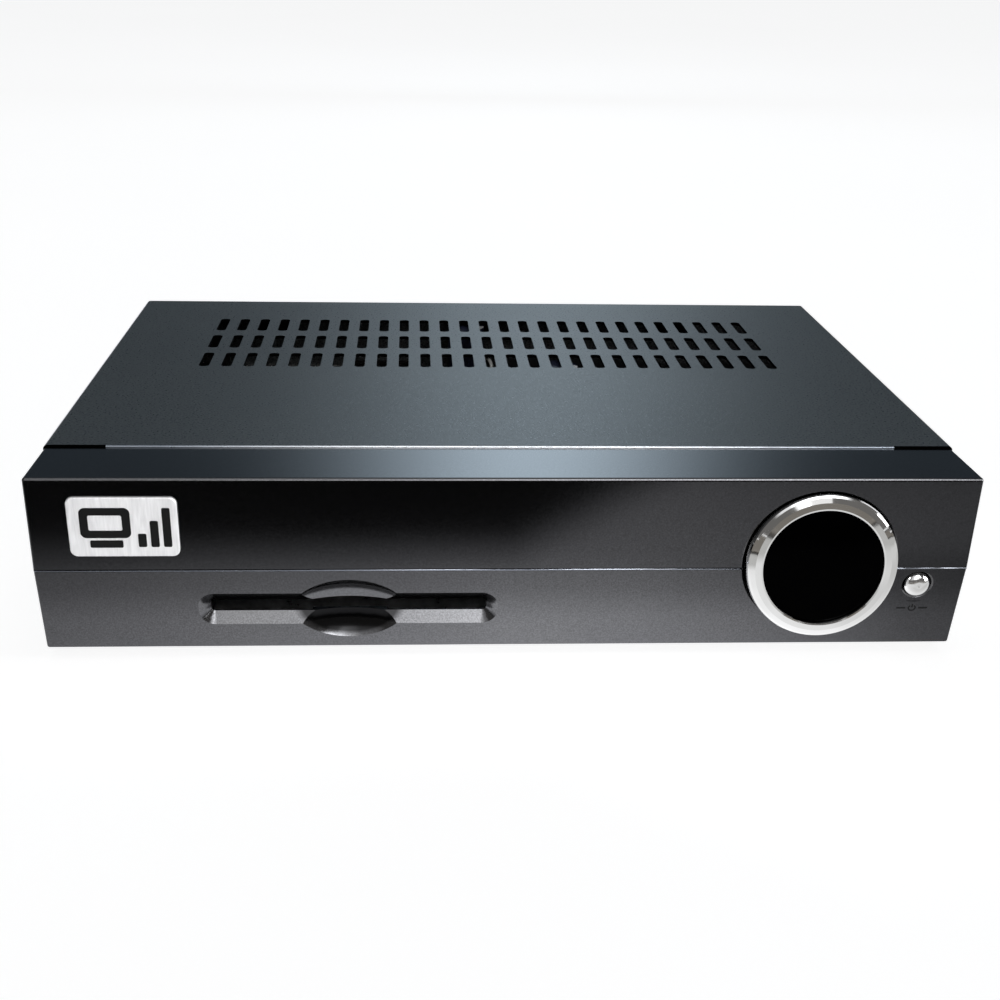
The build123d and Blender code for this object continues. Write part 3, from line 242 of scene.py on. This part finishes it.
# ================================================================ finishes
def textured_paint():
    """Anthracite powder coat: fine pebbled grain with light and dark specks."""
    finish = Finish("textured_paint", Specular_IOR_Level=1.0, IOR=1.6)
    grain = finish.noise(2100.0, 1.0, 0.6)
    speck = finish.ramp(grain, (0.36, (0.045, 0.053, 0.056)), (0.50, (0.105, 0.120, 0.126)),
                        (0.64, (0.185, 0.200, 0.208)))
    tone = finish.ramp(finish.noise(18.0), (0.3, (0.85, 0.86, 0.87)), (0.7, (1.0, 1.0, 1.0)))
    paint = finish.mix(1.0, speck, tone, "MULTIPLY")

    x, y, z = finish.split_axes()
    steep = finish.under(finish.unsigned(finish.normal_z()), 0.7)
    top_sheet = finish.within(z, *COVER_EDGE)
    # the rolled front edge is bare metal along the bezel's strip, coloured with a painted highlight; in the
    # open corners it is painted near-black as shade in the gap
    middle = finish.under(finish.unsigned(x), HALF_GAP)
    metal_glint = finish.product(finish.under(y, COVER_FRONT + 0.0004), top_sheet, middle)
    corner_gap_shade = finish.product(steep, top_sheet, finish.minus(1.0, middle),
                             finish.under(y, COVER_FRONT + 0.0015))
    # the punched edges of the vents and everything inside the case are painted near-black: painted shade in
    # the openings
    vent_wall_shade = finish.product(steep, top_sheet, finish.within(x, -VENTS_HALF_X, VENTS_HALF_X),
                             finish.within(y, *VENTS_Y))
    shaded_inside = finish.product(finish.within(x, -COVER_HALF_INSIDE, COVER_HALF_INSIDE),
                            finish.under(y, COVER_BACK_INSIDE),
                            finish.within(z, 0.0, COVER_TOP - COVER_SHEET))
    dark = finish.greatest(vent_wall_shade, shaded_inside, corner_gap_shade)
    # painted highlight on the bare front edge: brightest in the middle, dimmer towards the ends
    edge_highlight = finish.ramp(finish.unsigned(x), (0.025, EDGE_HIGHLIGHT_STEEL), (0.070, EDGE_FADE_STEEL))
    finish.colour(finish.mix(metal_glint, finish.mix(dark, paint, SHADE_BLACK), edge_highlight))
    finish.metallic(finish.greatest(metal_glint, dark))
    gloss = finish.span(grain, 0.27, 0.42, 0.3, 0.7)
    finish.roughness(finish.maths("ADD", gloss, finish.product(dark, 0.4)))
    finish.bump(grain, 0.00004, 0.6)
    return finish.material


def satin_paint():
    """Dark metallic lacquer: near-black base, fine flake sparkle, satin gloss."""
    finish = Finish("satin_paint", Metallic=1.0)
    flake = finish.noise(3200.0, 2.0, 0.7)
    base = finish.ramp(flake, (0.35, (0.130, 0.130, 0.133)), (0.65, (0.190, 0.190, 0.197)))
    tone = finish.ramp(finish.noise(25.0), (0.3, (0.92, 0.92, 0.93)), (0.7, (1.0, 1.0, 1.0)))
    base = finish.mix(1.0, base, tone, "MULTIPLY")

    x, y, z = finish.split_axes()
    # painted shade in the finger scoop: its surface darkened from where it leaves the lower face
    drop = finish.product(finish.minus(BREAK_HEIGHT, z), math.tan(LOWER_TILT))
    depth = finish.minus(finish.minus(y, FRONT_Y + BREAK_SETBACK), drop)
    centre_x, centre_z, radius = SCOOP_ARC
    reach = finish.squares(finish.minus(x, centre_x), finish.minus(z, centre_z))
    reach = finish.maths("SQRT", reach)
    scoop_shade = finish.product(finish.span(depth, 0.0, 1.0, 0.0001, 0.0009), finish.under(z, SCOOP_TOP),
                           finish.span(reach, 1.0, 0.0, radius - 0.0010, radius + 0.0006))
    base = finish.mix(scoop_shade, base, (0.03, 0.03, 0.031))
    # the back of the moulding is unpainted black plastic, coloured near-black as painted shade; the open
    # gaps at the corners are painted near-black as shade
    bezel_gap_shade = finish.product(finish.above(finish.unsigned(x), HALF_GAP),
                         finish.within(y, BEZEL_BACK - GAP_DEPTH, BEZEL_BACK + 0.01),
                         finish.within(z, 0.035, COVER_TOP + 0.001))
    back = finish.product(finish.within(x, -MOULDING_HALF_INSIDE, MOULDING_HALF_INSIDE),
                          finish.within(z, MOULDING_FLOOR, COVER_TOP - 0.0022),
                          finish.above(y, FRONT_Y + MOULDING_BACK))
    shaded_inside = finish.greatest(back, bezel_gap_shade)
    finish.colour(finish.mix(shaded_inside, base, SHADE_BLACK))
    gloss = finish.span(flake, 0.13, 0.18, 0.3, 0.7)
    finish.roughness(finish.maths("ADD", gloss, finish.product(shaded_inside, 0.5)))
    finish.bump(flake, 0.000012, 0.15)
    return finish.material


def bright_chrome():
    """Chromed plastic: mirror with faint ripples and wipe marks."""
    finish = Finish("bright_chrome", Metallic=1.0)
    finish.colour(finish.ramp(finish.noise(90.0), (0.3, (0.78, 0.78, 0.775)), (0.7, (0.86, 0.86, 0.86))))
    finish.roughness(finish.span(finish.noise(500.0, 3.0), 0.03, 0.09))
    finish.bump(finish.noise(160.0, 1.0), 0.00003, 0.25)
    return finish.material


def dark_window():
    """Polished black plastic."""
    finish = Finish("dark_window", Specular_IOR_Level=0.02)
    finish.colour(finish.ramp(finish.noise(60.0), (0.3, (0.0003, 0.0003, 0.0004)),
                              (0.7, (0.0006, 0.0006, 0.0007))))
    finish.roughness(finish.span(finish.noise(240.0, 3.0), 0.04, 0.10))
    return finish.material


def moulded(name, dark, light, rough, relief=0.00003, scale=2600.0):
    """Moulded plastic with a fine spark-eroded texture."""
    finish = Finish(name)
    grain = finish.noise(scale, 2.0, 0.6)
    finish.colour(finish.ramp(grain, (0.3, dark), (0.7, light)))
    finish.roughness(finish.span(grain, rough - 0.06, rough + 0.08))
    finish.bump(grain, relief, 0.6)
    return finish.material


def plated(name, dark, light, rough, grain=(1.0, 1.0, 1.0), scale=400.0):
    """Plated or rolled metal; the grain's scale per axis gives its direction."""
    finish = Finish(name, Metallic=1.0)
    streak = finish.noise(scale, 4.0, 0.65, finish.stretched(grain))
    finish.colour(finish.ramp(streak, (0.3, dark), (0.7, light)))
    finish.roughness(finish.span(streak, rough - 0.08, rough + 0.10, 0.3, 0.7))
    finish.bump(streak, 0.00002, 0.3)
    return finish.material


def satin_silver():
    """Badge metal: fine vertical brushing and a soft sheen."""
    finish = Finish("satin_silver", Metallic=0.55)
    brushed = finish.noise(900.0, 3.0, 0.6, finish.stretched((2.5, 1.0, 0.25)))
    finish.colour(finish.ramp(brushed, (0.3, (0.78, 0.78, 0.79)), (0.7, (0.90, 0.90, 0.91))))
    finish.roughness(finish.span(brushed, 0.34, 0.50, 0.3, 0.7))
    finish.bump(brushed, 0.00001, 0.3)
    return finish.material


def circuit_board():
    """Green solder mask over a web of copper traces and plated dots."""
    finish = Finish("circuit_board", Coat_Weight=0.4)
    trace = finish.node("ShaderNodeTexBrick", Scale=260.0, Mortar_Size=0.06, Color1=(0, 0, 0, 1),
                        Color2=(0, 0, 0, 1), Mortar=(1, 1, 1, 1))
    finish.link(finish.place, trace.inputs["Vector"])
    mask = finish.mix(trace.outputs["Fac"], (0.008, 0.075, 0.030), (0.022, 0.150, 0.055))
    dots = finish.under(finish.cells(230.0), 0.16)
    finish.colour(finish.mix(dots, mask, (0.62, 0.60, 0.52)))
    finish.roughness(finish.span(finish.noise(800.0), 0.28, 0.42))
    finish.bump(trace.outputs["Fac"], 0.00004, 0.4)
    return finish.material


def capacitor_sleeve():
    """Dark shrink sleeve over the whole can, with painted glints of metal at two spots on the tops."""
    finish = Finish("capacitor_sleeve")
    x, y, _ = finish.split_axes()
    glints = []
    for spot_x, spot_y in GLINT_SPOTS:
        reach = finish.squares(finish.minus(x, spot_x), finish.minus(y, spot_y))
        glints.append(finish.under(reach, GLINT_SPOT_R ** 2))
    metal_glint = finish.product(finish.above(finish.normal_z(), 0.9), finish.greatest(*glints))
    grain = finish.noise(1500.0)
    sleeve = finish.ramp(grain, (0.3, (0.010, 0.014, 0.040)), (0.7, (0.016, 0.022, 0.060)))
    # colour of the painted glints
    metal = finish.ramp(grain, (0.3, (0.80, 0.80, 0.81)), (0.7, (0.90, 0.90, 0.90)))
    finish.colour(finish.mix(metal_glint, sleeve, metal))
    finish.metallic(finish.product(metal_glint, 0.3))
    finish.roughness(finish.span(grain, 0.42, 0.56))
    return finish.material


# darkest and lightest colour, roughness, relief and scale of the grain
PLASTICS = {
    "rubber": ((0.010, 0.010, 0.010), (0.022, 0.022, 0.022), 0.85, 0.00006, 1800.0),
    "black_plastic": ((0.010, 0.010, 0.011), (0.020, 0.020, 0.022), 0.42),
    "white_plastic": ((0.70, 0.69, 0.64), (0.80, 0.79, 0.75), 0.45),
    "black_print": ((0.002, 0.002, 0.002), (0.005, 0.005, 0.005), 0.55, 0.00001),
    "display_red": ((0.030, 0.006, 0.006), (0.050, 0.010, 0.010), 0.35),
    "shutter_grey": ((0.10, 0.10, 0.105), (0.15, 0.15, 0.155), 0.4),
}
# darkest and lightest colour, roughness, stretch and scale of the grain
METALS = {
    "zinc_steel": ((0.50, 0.51, 0.52), (0.68, 0.69, 0.70), 0.34, (1, 0.15, 1)),
    # tin_plate is coloured dark grey as painted shade, so the tuner's can stays black through the vents
    "tin_plate": ((0.06, 0.06, 0.06), (0.10, 0.10, 0.10), 0.55, (0.12, 1, 1)),
    "black_screw": ((0.035, 0.035, 0.036), (0.07, 0.07, 0.072), 0.35),
    "brass": ((0.60, 0.44, 0.18), (0.78, 0.60, 0.28), 0.28),
    "gold": ((0.75, 0.52, 0.20), (0.90, 0.66, 0.28), 0.20),
    "nickel": ((0.55, 0.53, 0.49), (0.72, 0.70, 0.66), 0.22, (1, 0.3, 1), 900.0),
    "aluminium": ((0.66, 0.66, 0.67), (0.82, 0.82, 0.82), 0.30, (1, 0.1, 1), 900.0),
    # seam_metal is the colour of the painted highlight bar in the bezel's parting groove
    "seam_metal": ((0.42, 0.45, 0.52), (0.52, 0.55, 0.62), 0.24, (0.05, 1, 1), 900.0),
    "copper": ((0.62, 0.28, 0.12), (0.80, 0.40, 0.20), 0.3, (1, 1, 6), 1200.0),
}

SPECIAL = {
    "textured_paint": textured_paint,
    "satin_paint": satin_paint,
    "bright_chrome": bright_chrome,
    "dark_window": dark_window,
    "satin_silver": satin_silver,
    "circuit_board": circuit_board,
    "capacitor_sleeve": capacitor_sleeve,
}
finishes = {name: make() for name, make in SPECIAL.items()}
for plastic, values in PLASTICS.items():
    finishes[plastic] = moulded(plastic, *values)
for metal, values in METALS.items():
    finishes[metal] = plated(metal, *values)
for entry in frame["record"]["subparts"]:
    skin = nodes[entry["node"]].data
    skin.materials.clear()
    skin.materials.append(finishes[entry["material_slot"]])


# ================================================================ small pieces
def piece(name, shell, finish, body="case"):
    """A finished mesh that rides on a body."""
    mesh = bpy.data.meshes.new(name)
    shell.normal_update()
    shell.to_mesh(mesh)
    shell.free()
    mesh.materials.append(finishes[finish])
    made = bpy.data.objects.new(name, mesh)
    bpy.context.scene.collection.objects.link(made)
    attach(made, body)


def sweep(shell, path, radius, sides=10):
    """A round bar along a list of points."""
    rings = []
    for i, point in enumerate(path):
        along = (path[min(i + 1, len(path) - 1)] - path[max(i - 1, 0)]).normalized()
        side = along.cross(Vector((0, 0, 1)))
        if side.length < 0.1:
            side = along.cross(Vector((0, 1, 0)))
        side.normalize()
        rise = side.cross(along)
        ring = []
        for k in range(sides):
            angle = 2 * math.pi * k / sides
            ring.append(shell.verts.new(point + radius * (math.cos(angle) * side + math.sin(angle) * rise)))
        rings.append(ring)
    for first, second in zip(rings, rings[1:]):
        for k in range(sides):
            shell.faces.new((first[k], first[(k + 1) % sides], second[(k + 1) % sides], second[k]))
    shell.faces.new(list(reversed(rings[0])))
    shell.faces.new(rings[-1])
    for face in shell.faces:
        face.smooth = True


def raised_stroke(shell, points, half_width, place, thick):
    """A flat stroke with thickness: points are (across, up) on a face, place maps them into space."""
    left, right = [], []
    for i, point in enumerate(points):
        before = points[max(i - 1, 0)]
        after = points[min(i + 1, len(points) - 1)]
        along = Vector((after[0] - before[0], after[1] - before[1])).normalized()
        side = Vector((-along.y, along.x)) * half_width
        left.append((point[0] + side.x, point[1] + side.y))
        right.append((point[0] - side.x, point[1] - side.y))
    outline = left + right[::-1]
    low = [shell.verts.new(place(a, b, 0.0)) for a, b in outline]
    high = [shell.verts.new(place(a, b, thick)) for a, b in outline]
    count = len(outline)
    for i in range(count):
        j = (i + 1) % count
        shell.faces.new((low[i], low[j], high[j], high[i]))
    for i in range(len(points) - 1):
        a, b, c, d = i, i + 1, count - 2 - i, count - 1 - i
        shell.faces.new((high[a], high[b], high[c], high[d]))
        shell.faces.new((low[d], low[c], low[b], low[a]))


def arc(radius, start, end, steps=20):
    """Points on a circle from one angle to another, in degrees."""
    angles = [math.radians(start + (end - start) * i / steps) for i in range(steps + 1)]
    return [(radius * math.cos(a), radius * math.sin(a)) for a in angles]


def on_lower_face(across, up, out):
    """A point beside the standby mark's centre, on or just above the bezel's lower face."""
    x, z = STANDBY_MARK
    z = z + up * math.cos(LOWER_TILT)
    y = FRONT_Y + BREAK_SETBACK + (BREAK_HEIGHT - z) * math.tan(LOWER_TILT)
    return Vector((x + across, y, z)) + out * Vector((0, -math.cos(LOWER_TILT), -math.sin(LOWER_TILT)))


def add_standby_mark():
    """Printed power symbol between two dashes, under the button."""
    ink, thin, thick = 0.00003, 0.00016, 0.00020
    symbol_r, dash_from, dash_to = 0.0007, 0.0014, 0.0033
    shell = bmesh.new()
    raised_stroke(shell, arc(symbol_r, 128, 412), thin, on_lower_face, ink)
    raised_stroke(shell, [(0, 0.0001), (0, 0.0010)], thin, on_lower_face, ink)
    for side in (-1, 1):
        raised_stroke(shell, [(side * dash_from, 0), (side * dash_to, 0)], thick, on_lower_face, ink)
    piece("standby_mark", shell, "black_print")


def add_windings():
    """Copper wire wound round the power inductors' cores."""
    turns, steps = 7, 26
    radius, wire_r, low, pitch = 0.0040, 0.00026, 0.0133, 0.00056
    for number, (x, y) in enumerate(INDUCTORS, 1):
        path = []
        for i in range(turns * steps + 1):
            angle = 2 * math.pi * i / steps
            place = (x + radius * math.cos(angle), y + radius * math.sin(angle), low + pitch * i / steps)
            path.append(Vector(place))
        shell = bmesh.new()
        sweep(shell, path, wire_r, 8)
        piece("inductor_winding_%d" % number, shell, "copper")


def curve_through(points, steps=6):
    """A smooth line through points, with several steps between each two."""
    path = []
    for i in range(len(points) - 1):
        p0, p1 = points[max(i - 1, 0)], points[i]
        p2, p3 = points[i + 1], points[min(i + 2, len(points) - 1)]
        for k in range(steps):
            t = k / steps
            bend = (2 * p0 - 5 * p1 + 4 * p2 - p3) * t * t + (3 * p1 - p0 - 3 * p2 + p3) * t ** 3
            path.append(0.5 * (2 * p1 + (p2 - p0) * t + bend))
    path.append(points[-1])
    return path


LEAD_ROUTE = ((-0.0030, 0.0190, 0.0395), (-0.0007, 0.0155, 0.0409), (0.0000, 0.0135, 0.0412),
              (0.0004, 0.0095, 0.0412), (0.0003, 0.0062, 0.0411), (-0.0006, 0.0020, 0.0400),
              (-0.0022, -0.0030, 0.0370), (-0.0030, -0.0070, 0.0310), (-0.0030, -0.0080, 0.0220),
              (-0.0030, -0.0080, 0.0117))
LEAD_R = 0.00045


def add_jumper_lead():
    """Insulated lead that arches up from the board to close under the vents."""
    shell = bmesh.new()
    sweep(shell, curve_through([Vector(point) for point in LEAD_ROUTE]), LEAD_R)
    piece("jumper_lead", shell, "white_plastic")


def box_into(shell, low, high):
    """Adds a box to a mesh, given two opposite corners."""
    made = bmesh.ops.create_cube(shell, size=1.0)["verts"]
    middle = (Vector(low) + Vector(high)) / 2
    size = Vector(high) - Vector(low)
    for vert in made:
        vert.co = middle + Vector(a * b for a, b in zip(vert.co, size))


def add_gasket(name, node):
    """Foam frame that closes the crack between a rear socket and the panel, from inside."""
    room, rail, thick = 0.0009, 0.0011, 0.0006
    low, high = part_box(node)
    x0, x1 = low[0] - room, high[0] + room
    z0, z1 = low[2] - room, high[2] + room
    bars = (((x0, z0), (x0 + rail, z1)), ((x1 - rail, z0), (x1, z1)),
            ((x0 + rail, z0), (x1 - rail, z0 + rail)), ((x0 + rail, z1 - rail), (x1 - rail, z1)))
    shell = bmesh.new()
    for (left, bottom), (right, top) in bars:
        box_into(shell, (left, REAR_PANEL_INSIDE - thick, bottom), (right, REAR_PANEL_INSIDE, top))
    piece(name, shell, "rubber")


def add_seam_highlights():
    """Thin bright bar in the parting groove, on both sides of the ring: a painted highlight of the groove's
    lip.
    """
    ring_low, ring_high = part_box("window_ring")
    end, clear, radius = 0.0945, 0.0004, 0.00015
    y, z = FRONT_Y + BREAK_SETBACK + 0.00012, BREAK_HEIGHT - 0.00022
    for side, start, stop in (("left", -end, ring_low[0] - clear), ("right", ring_high[0] + clear, end)):
        shell = bmesh.new()
        sweep(shell, [Vector((start, y, z)), Vector((stop, y, z))], radius, 12)
        piece("seam_highlight_" + side, shell, "seam_metal")


add_standby_mark()
add_windings()
add_seam_highlights()
add_gasket("jack_gasket", "ethernet_jack")
add_jumper_lead()


# ================================================================ camera
LENS = 53.0                                 # millimetres, on a 36 mm sensor
CAMERA_PLACE = Vector((-0.01986, -0.34978, 0.14116))
CAMERA_YAW = math.radians(-3.71)
CAMERA_PITCH = math.radians(20.80)
CAMERA_ROLL = math.radians(1.29)


def add_camera():
    """Camera slightly left of the middle, looking down at the front."""
    data = bpy.data.cameras.new("camera")
    data.lens = LENS
    data.sensor_width = 36.0
    data.clip_start = 0.01
    data.clip_end = 50.0
    camera = bpy.data.objects.new("camera", data)
    bpy.context.scene.collection.objects.link(camera)
    turn = Matrix.Rotation(CAMERA_YAW, 4, "Z")
    tilt = Matrix.Rotation(math.pi / 2 - CAMERA_PITCH, 4, "X")
    roll = Matrix.Rotation(CAMERA_ROLL, 4, "Z")
    camera.matrix_world = Matrix.Translation(CAMERA_PLACE) @ turn @ tilt @ roll
    bpy.context.scene.camera = camera


# ================================================================ studio
BLACK = (0, 0, 0, 1)
WHITE = (1, 1, 1, 1)


def add_sheet(name, size, centre, turn, material, **sees):
    """A flat sheet of the studio; sees says which kinds of light ray meet it."""
    mesh = bpy.data.meshes.new(name)
    w, d = size[0] / 2, size[1] / 2
    mesh.from_pydata([(-w, -d, 0), (w, -d, 0), (w, d, 0), (-w, d, 0)], [], [(0, 1, 2, 3)])
    sheet = bpy.data.objects.new(name, mesh)
    sheet.location = centre
    sheet.rotation_euler = turn
    mesh.materials.append(material)
    bpy.context.scene.collection.objects.link(sheet)
    for kind, value in sees.items():
        setattr(sheet, "visible_" + kind, value)
    return sheet


def add_mirror_card(name, card, size, centre, turn):
    """A sheet that shows only in glossy surfaces."""
    return add_sheet(name, size, centre, turn, card.material, camera=False, diffuse=False,
                     transmission=False, volume_scatter=False, shadow=False)


# how a sheet is turned
LEVEL = (0, 0, 0)
UPRIGHT = (math.pi / 2, 0, 0)
FACING_SIDEWAYS = (math.pi / 2, 0, math.pi / 2)

# pieces that only glimpses through the openings reach
DEEP_INSIDE = ("main_board", "board_screws", "board_standoffs", "front_board", "segment_display",
               "ir_receiver", "board_link_header", "card_reader_frame", "card_contacts", "processor",
               "heatsink", "memory_chips", "small_chips", "power_inductors", "crystal", "tuner_can",
               "tuner_lid", "window_housing", "aerial_insulators", "rocker_terminals", "base_tray")


def shines_on(source, names, state):
    """Limit a light or sheet to the named CAD pieces, or keep it off them."""
    group = bpy.data.collections.new(source.name + "_pieces")
    for name in names:
        group.objects.link(nodes[name])
    for item in group.collection_objects:
        item.light_linking.link_state = state
    source.light_linking.receiver_collection = group


def clear_where_dark(card):
    """Let rays pass through a sheet and add its glow to whatever lies behind."""
    clear = card.node("ShaderNodeBsdfTransparent")
    blend = card.node("ShaderNodeAddShader")
    card.link(card.shader.outputs["BSDF"], blend.inputs[0])
    card.link(clear.outputs["BSDF"], blend.inputs[1])
    card.link(blend.outputs["Shader"], card.tree.nodes["Material Output"].inputs["Surface"])


def add_backdrop():
    """Large white dome that only the camera meets."""
    glow = Finish("backdrop_white", Base_Color=BLACK, Emission_Color=WHITE, Emission_Strength=1.1)
    mesh = bpy.data.meshes.new("backdrop")
    shell = bmesh.new()
    bmesh.ops.create_uvsphere(shell, u_segments=48, v_segments=24, radius=9.0)
    shell.to_mesh(mesh)
    shell.free()
    mesh.materials.append(glow.material)
    dome = bpy.data.objects.new("backdrop", mesh)
    bpy.context.scene.collection.objects.link(dome)
    for kind in ("diffuse", "glossy", "transmission", "volume_scatter", "shadow"):
        setattr(dome, "visible_" + kind, False)


def add_floor():
    """White floor, bright enough to stay white, with only a faint contact shadow."""
    white = Finish("floor_white", Roughness=0.9, Emission_Color=WHITE, Emission_Strength=0.86)
    white.colour(white.ramp(white.noise(3.0), (0.3, (0.50, 0.50, 0.50)), (0.7, (0.54, 0.54, 0.54))))
    add_sheet("floor", (18, 18), (0, 0, 0), LEVEL, white.material)


def dull_card(name):
    """Black card without gloss, ready to be given a glow."""
    return Finish(name, Base_Color=BLACK, Roughness=1.0, Specular_IOR_Level=0.0)


def grey_ramp(card, value, *stops):
    """Grey levels over a value; stops are (position, level)."""
    return card.ramp(value, *((position, (level,) * 3) for position, level in stops))


def glows(card, colour, *factors):
    """Give a card a glow of one colour, its strength the product of the factors."""
    card.link(card.product(*factors), card.shader.inputs["Emission Strength"])
    card.shader.inputs["Emission Color"].default_value = colour


def add_reflected_floor():
    """What the glossy fronts see of the table: a pool of light, then a dark room beyond its edge."""
    centre_y = -0.82
    card = dull_card("table_card")
    x, y, _ = card.split_axes()
    ahead = card.minus(FRONT_Y - centre_y, y)
    near = grey_ramp(card, card.span(ahead, 0.0, 1.0, -0.01, 0.09), (0.0, 1.0), (0.12, 0.90), (0.20, 0.55),
                     (0.34, 0.40), (0.50, 0.30), (1.0, 0.24))
    fall = grey_ramp(card, card.span(x, 0.0, 1.0, -0.12, 0.12), (0.0, 0.35), (0.21, 0.60), (0.50, 1.0),
                     (0.62, 0.92), (0.75, 0.62), (0.87, 0.30), (1.0, 0.15))
    pool = card.product(near, 1.36, fall)
    right = card.product(card.span(x, 0.0, 0.14, 0.02, 0.10), card.span(ahead, 0.0, 1.0, 0.025, 0.04))
    edge = card.span(x, 0.036, 0.078, 0.004, 0.054)
    lit = card.span(card.minus(ahead, edge), 1.0, 0.0, -0.010, 0.008)
    glows(card, (0.96, 0.97, 1.0, 1), card.maths("ADD", pool, right), lit)
    add_mirror_card("table_card", card, size=(3.0, 1.5), centre=(0, centre_y, 0.0005), turn=LEVEL)


def add_reflected_panel():
    """Soft-edged bright panel far behind, mirrored in the top strip and, blurred, in the cover."""
    card = dull_card("panel_card")
    x, y, _ = card.split_axes()
    across = card.product(card.minus(x, 0.105), 1 / 0.16)
    upward = card.product(card.minus(y, -0.05), 1 / 0.17)
    fade = card.maths("POWER", math.e, card.product(card.squares(across, upward), -1.0))
    glows(card, (0.80, 0.97, 1.10, 1), fade, 1.75)
    clear_where_dark(card)
    sheet = add_sheet("panel_card", (2.0, 1.2), (0, 1.1, 0.50), UPRIGHT, card.material,
                      camera=False, transmission=False, volume_scatter=False, shadow=False)
    shines_on(sheet, DEEP_INSIDE, "EXCLUDE")


def add_front_card():
    """Tall card in front, mirrored only by upward slopes: brighter towards the right."""
    card = dull_card("front_card")
    x, y, _ = card.split_axes()
    across = grey_ramp(card, card.span(x, 0.0, 1.0, -1.2, 1.2), (0.0, 0.05), (0.30, 0.13), (0.42, 0.15),
                       (0.52, 0.33), (0.62, 0.75), (0.74, 1.0), (0.86, 1.0), (1.0, 0.05))
    lower_edge = card.span(x, -0.95, -0.50, 0.12, 0.30)
    upper = card.span(card.minus(y, lower_edge), 0.0, 1.0, 0.0, 0.12)
    glows(card, (0.97, 0.98, 1.0, 1), across, upper, 6.0)
    clear_where_dark(card)
    add_mirror_card("front_card", card, size=(2.4, 2.0), centre=(0, -1.5, 1.45), turn=UPRIGHT)


def add_right_card():
    """Bright card on the right, mirrored in the slot's left end and the button."""
    card = Finish("right_card", Base_Color=BLACK, Emission_Color=WHITE, Emission_Strength=6.0)
    add_mirror_card("right_card", card, size=(0.8, 0.75), centre=(1.2, -0.45, 0.48), turn=FACING_SIDEWAYS)


def add_chrome_card():
    """White table as the chromed ring and button see it, out to a ragged dark edge, then dull grey."""
    centre_y = -0.70
    card = dull_card("chrome_card")
    x, y, _ = card.split_axes()
    ahead = card.minus(FRONT_Y - centre_y, y)
    far = card.span(x, 0.085, 0.150, 0.0, 0.10)
    ragged = card.span(card.noise(60.0, 3.0, 0.7), -0.02, 0.02)
    past = card.span(card.minus(ahead, card.maths("ADD", far, ragged)), 0.0, 1.0, -0.005, 0.045)
    tones = card.ramp(past, (0.0, (0.53, 0.53, 0.52)), (0.15, (0.50, 0.50, 0.49)),
                      (0.22, (0.02, 0.02, 0.02)), (0.50, (0.05, 0.045, 0.04)),
                      (0.62, (0.16, 0.150, 0.135)), (0.80, (0.25, 0.232, 0.208)),
                      (1.0, (0.20, 0.185, 0.165)))
    card.link(tones, card.shader.inputs["Emission Color"])
    card.shader.inputs["Emission Strength"].default_value = 1.0
    clear_where_dark(card)
    sheet = add_mirror_card("chrome_card", card, size=(2.0, 1.3), centre=(0, centre_y, 0.001), turn=LEVEL)
    shines_on(sheet, ("window_ring", "standby_button"), "INCLUDE")


def add_room():
    """Dim surroundings: warm grey in front, cooler and darker behind."""
    world = bpy.data.worlds.new("room")
    bpy.context.scene.world = world
    world.use_nodes = True
    tree = world.node_tree
    place = tree.nodes.new("ShaderNodeTexCoord")
    split = tree.nodes.new("ShaderNodeSeparateXYZ")
    blend = tree.nodes.new("ShaderNodeValToRGB")
    tree.links.new(place.outputs["Generated"], split.inputs["Vector"])
    shift = tree.nodes.new("ShaderNodeMapRange")
    shift.inputs["From Min"].default_value = -1.0
    tree.links.new(split.outputs["Y"], shift.inputs["Value"])
    tree.links.new(shift.outputs["Result"], blend.inputs["Fac"])
    points = blend.color_ramp.elements
    points[0].position, points[0].color = 0.2, (0.15, 0.145, 0.14, 1)
    points[1].position, points[1].color = 0.7, (0.055, 0.070, 0.085, 1)
    tree.links.new(blend.outputs["Color"], tree.nodes["Background"].inputs["Color"])


def add_softbox(name, place, target, size, radiance):
    """A soft rectangular light aimed at a point, its brightness given per area."""
    data = bpy.data.lights.new(name, "AREA")
    data.shape = "RECTANGLE"
    data.size, data.size_y = size
    data.energy = radiance * math.pi * size[0] * size[1]
    lamp = bpy.data.objects.new(name, data)
    lamp.location = place
    lamp.rotation_euler = (Vector(target) - Vector(place)).to_track_quat("-Z", "Y").to_euler()
    bpy.context.scene.collection.objects.link(lamp)
    return lamp


def add_studio():
    """White floor and backdrop, dim room, cards for the gloss to mirror, and softboxes."""
    bpy.context.scene.view_settings.view_transform = "Standard"
    add_floor()
    add_backdrop()
    add_reflected_floor()
    add_room()
    add_reflected_panel()
    add_front_card()
    add_right_card()
    add_chrome_card()
    above = add_softbox("above", (0.0, 0.0, 1.4), (0, 0, 0), (1.2, 1.2), radiance=0.5)
    front = add_softbox("front", (0.11, -1.33, 0.82), (0, 0, 0.02), (0.8, 0.7), radiance=0.8)
    for lamp in (above, front):
        shines_on(lamp, DEEP_INSIDE, "EXCLUDE")
    badge_light = add_softbox("badge_light", (0.25, -0.60, 0.10), (-0.076, -0.08, 0.03), (0.3, 0.3),
                              radiance=21.0)
    shines_on(badge_light, ("badge_plate",), "INCLUDE")


add_camera()
add_studio()
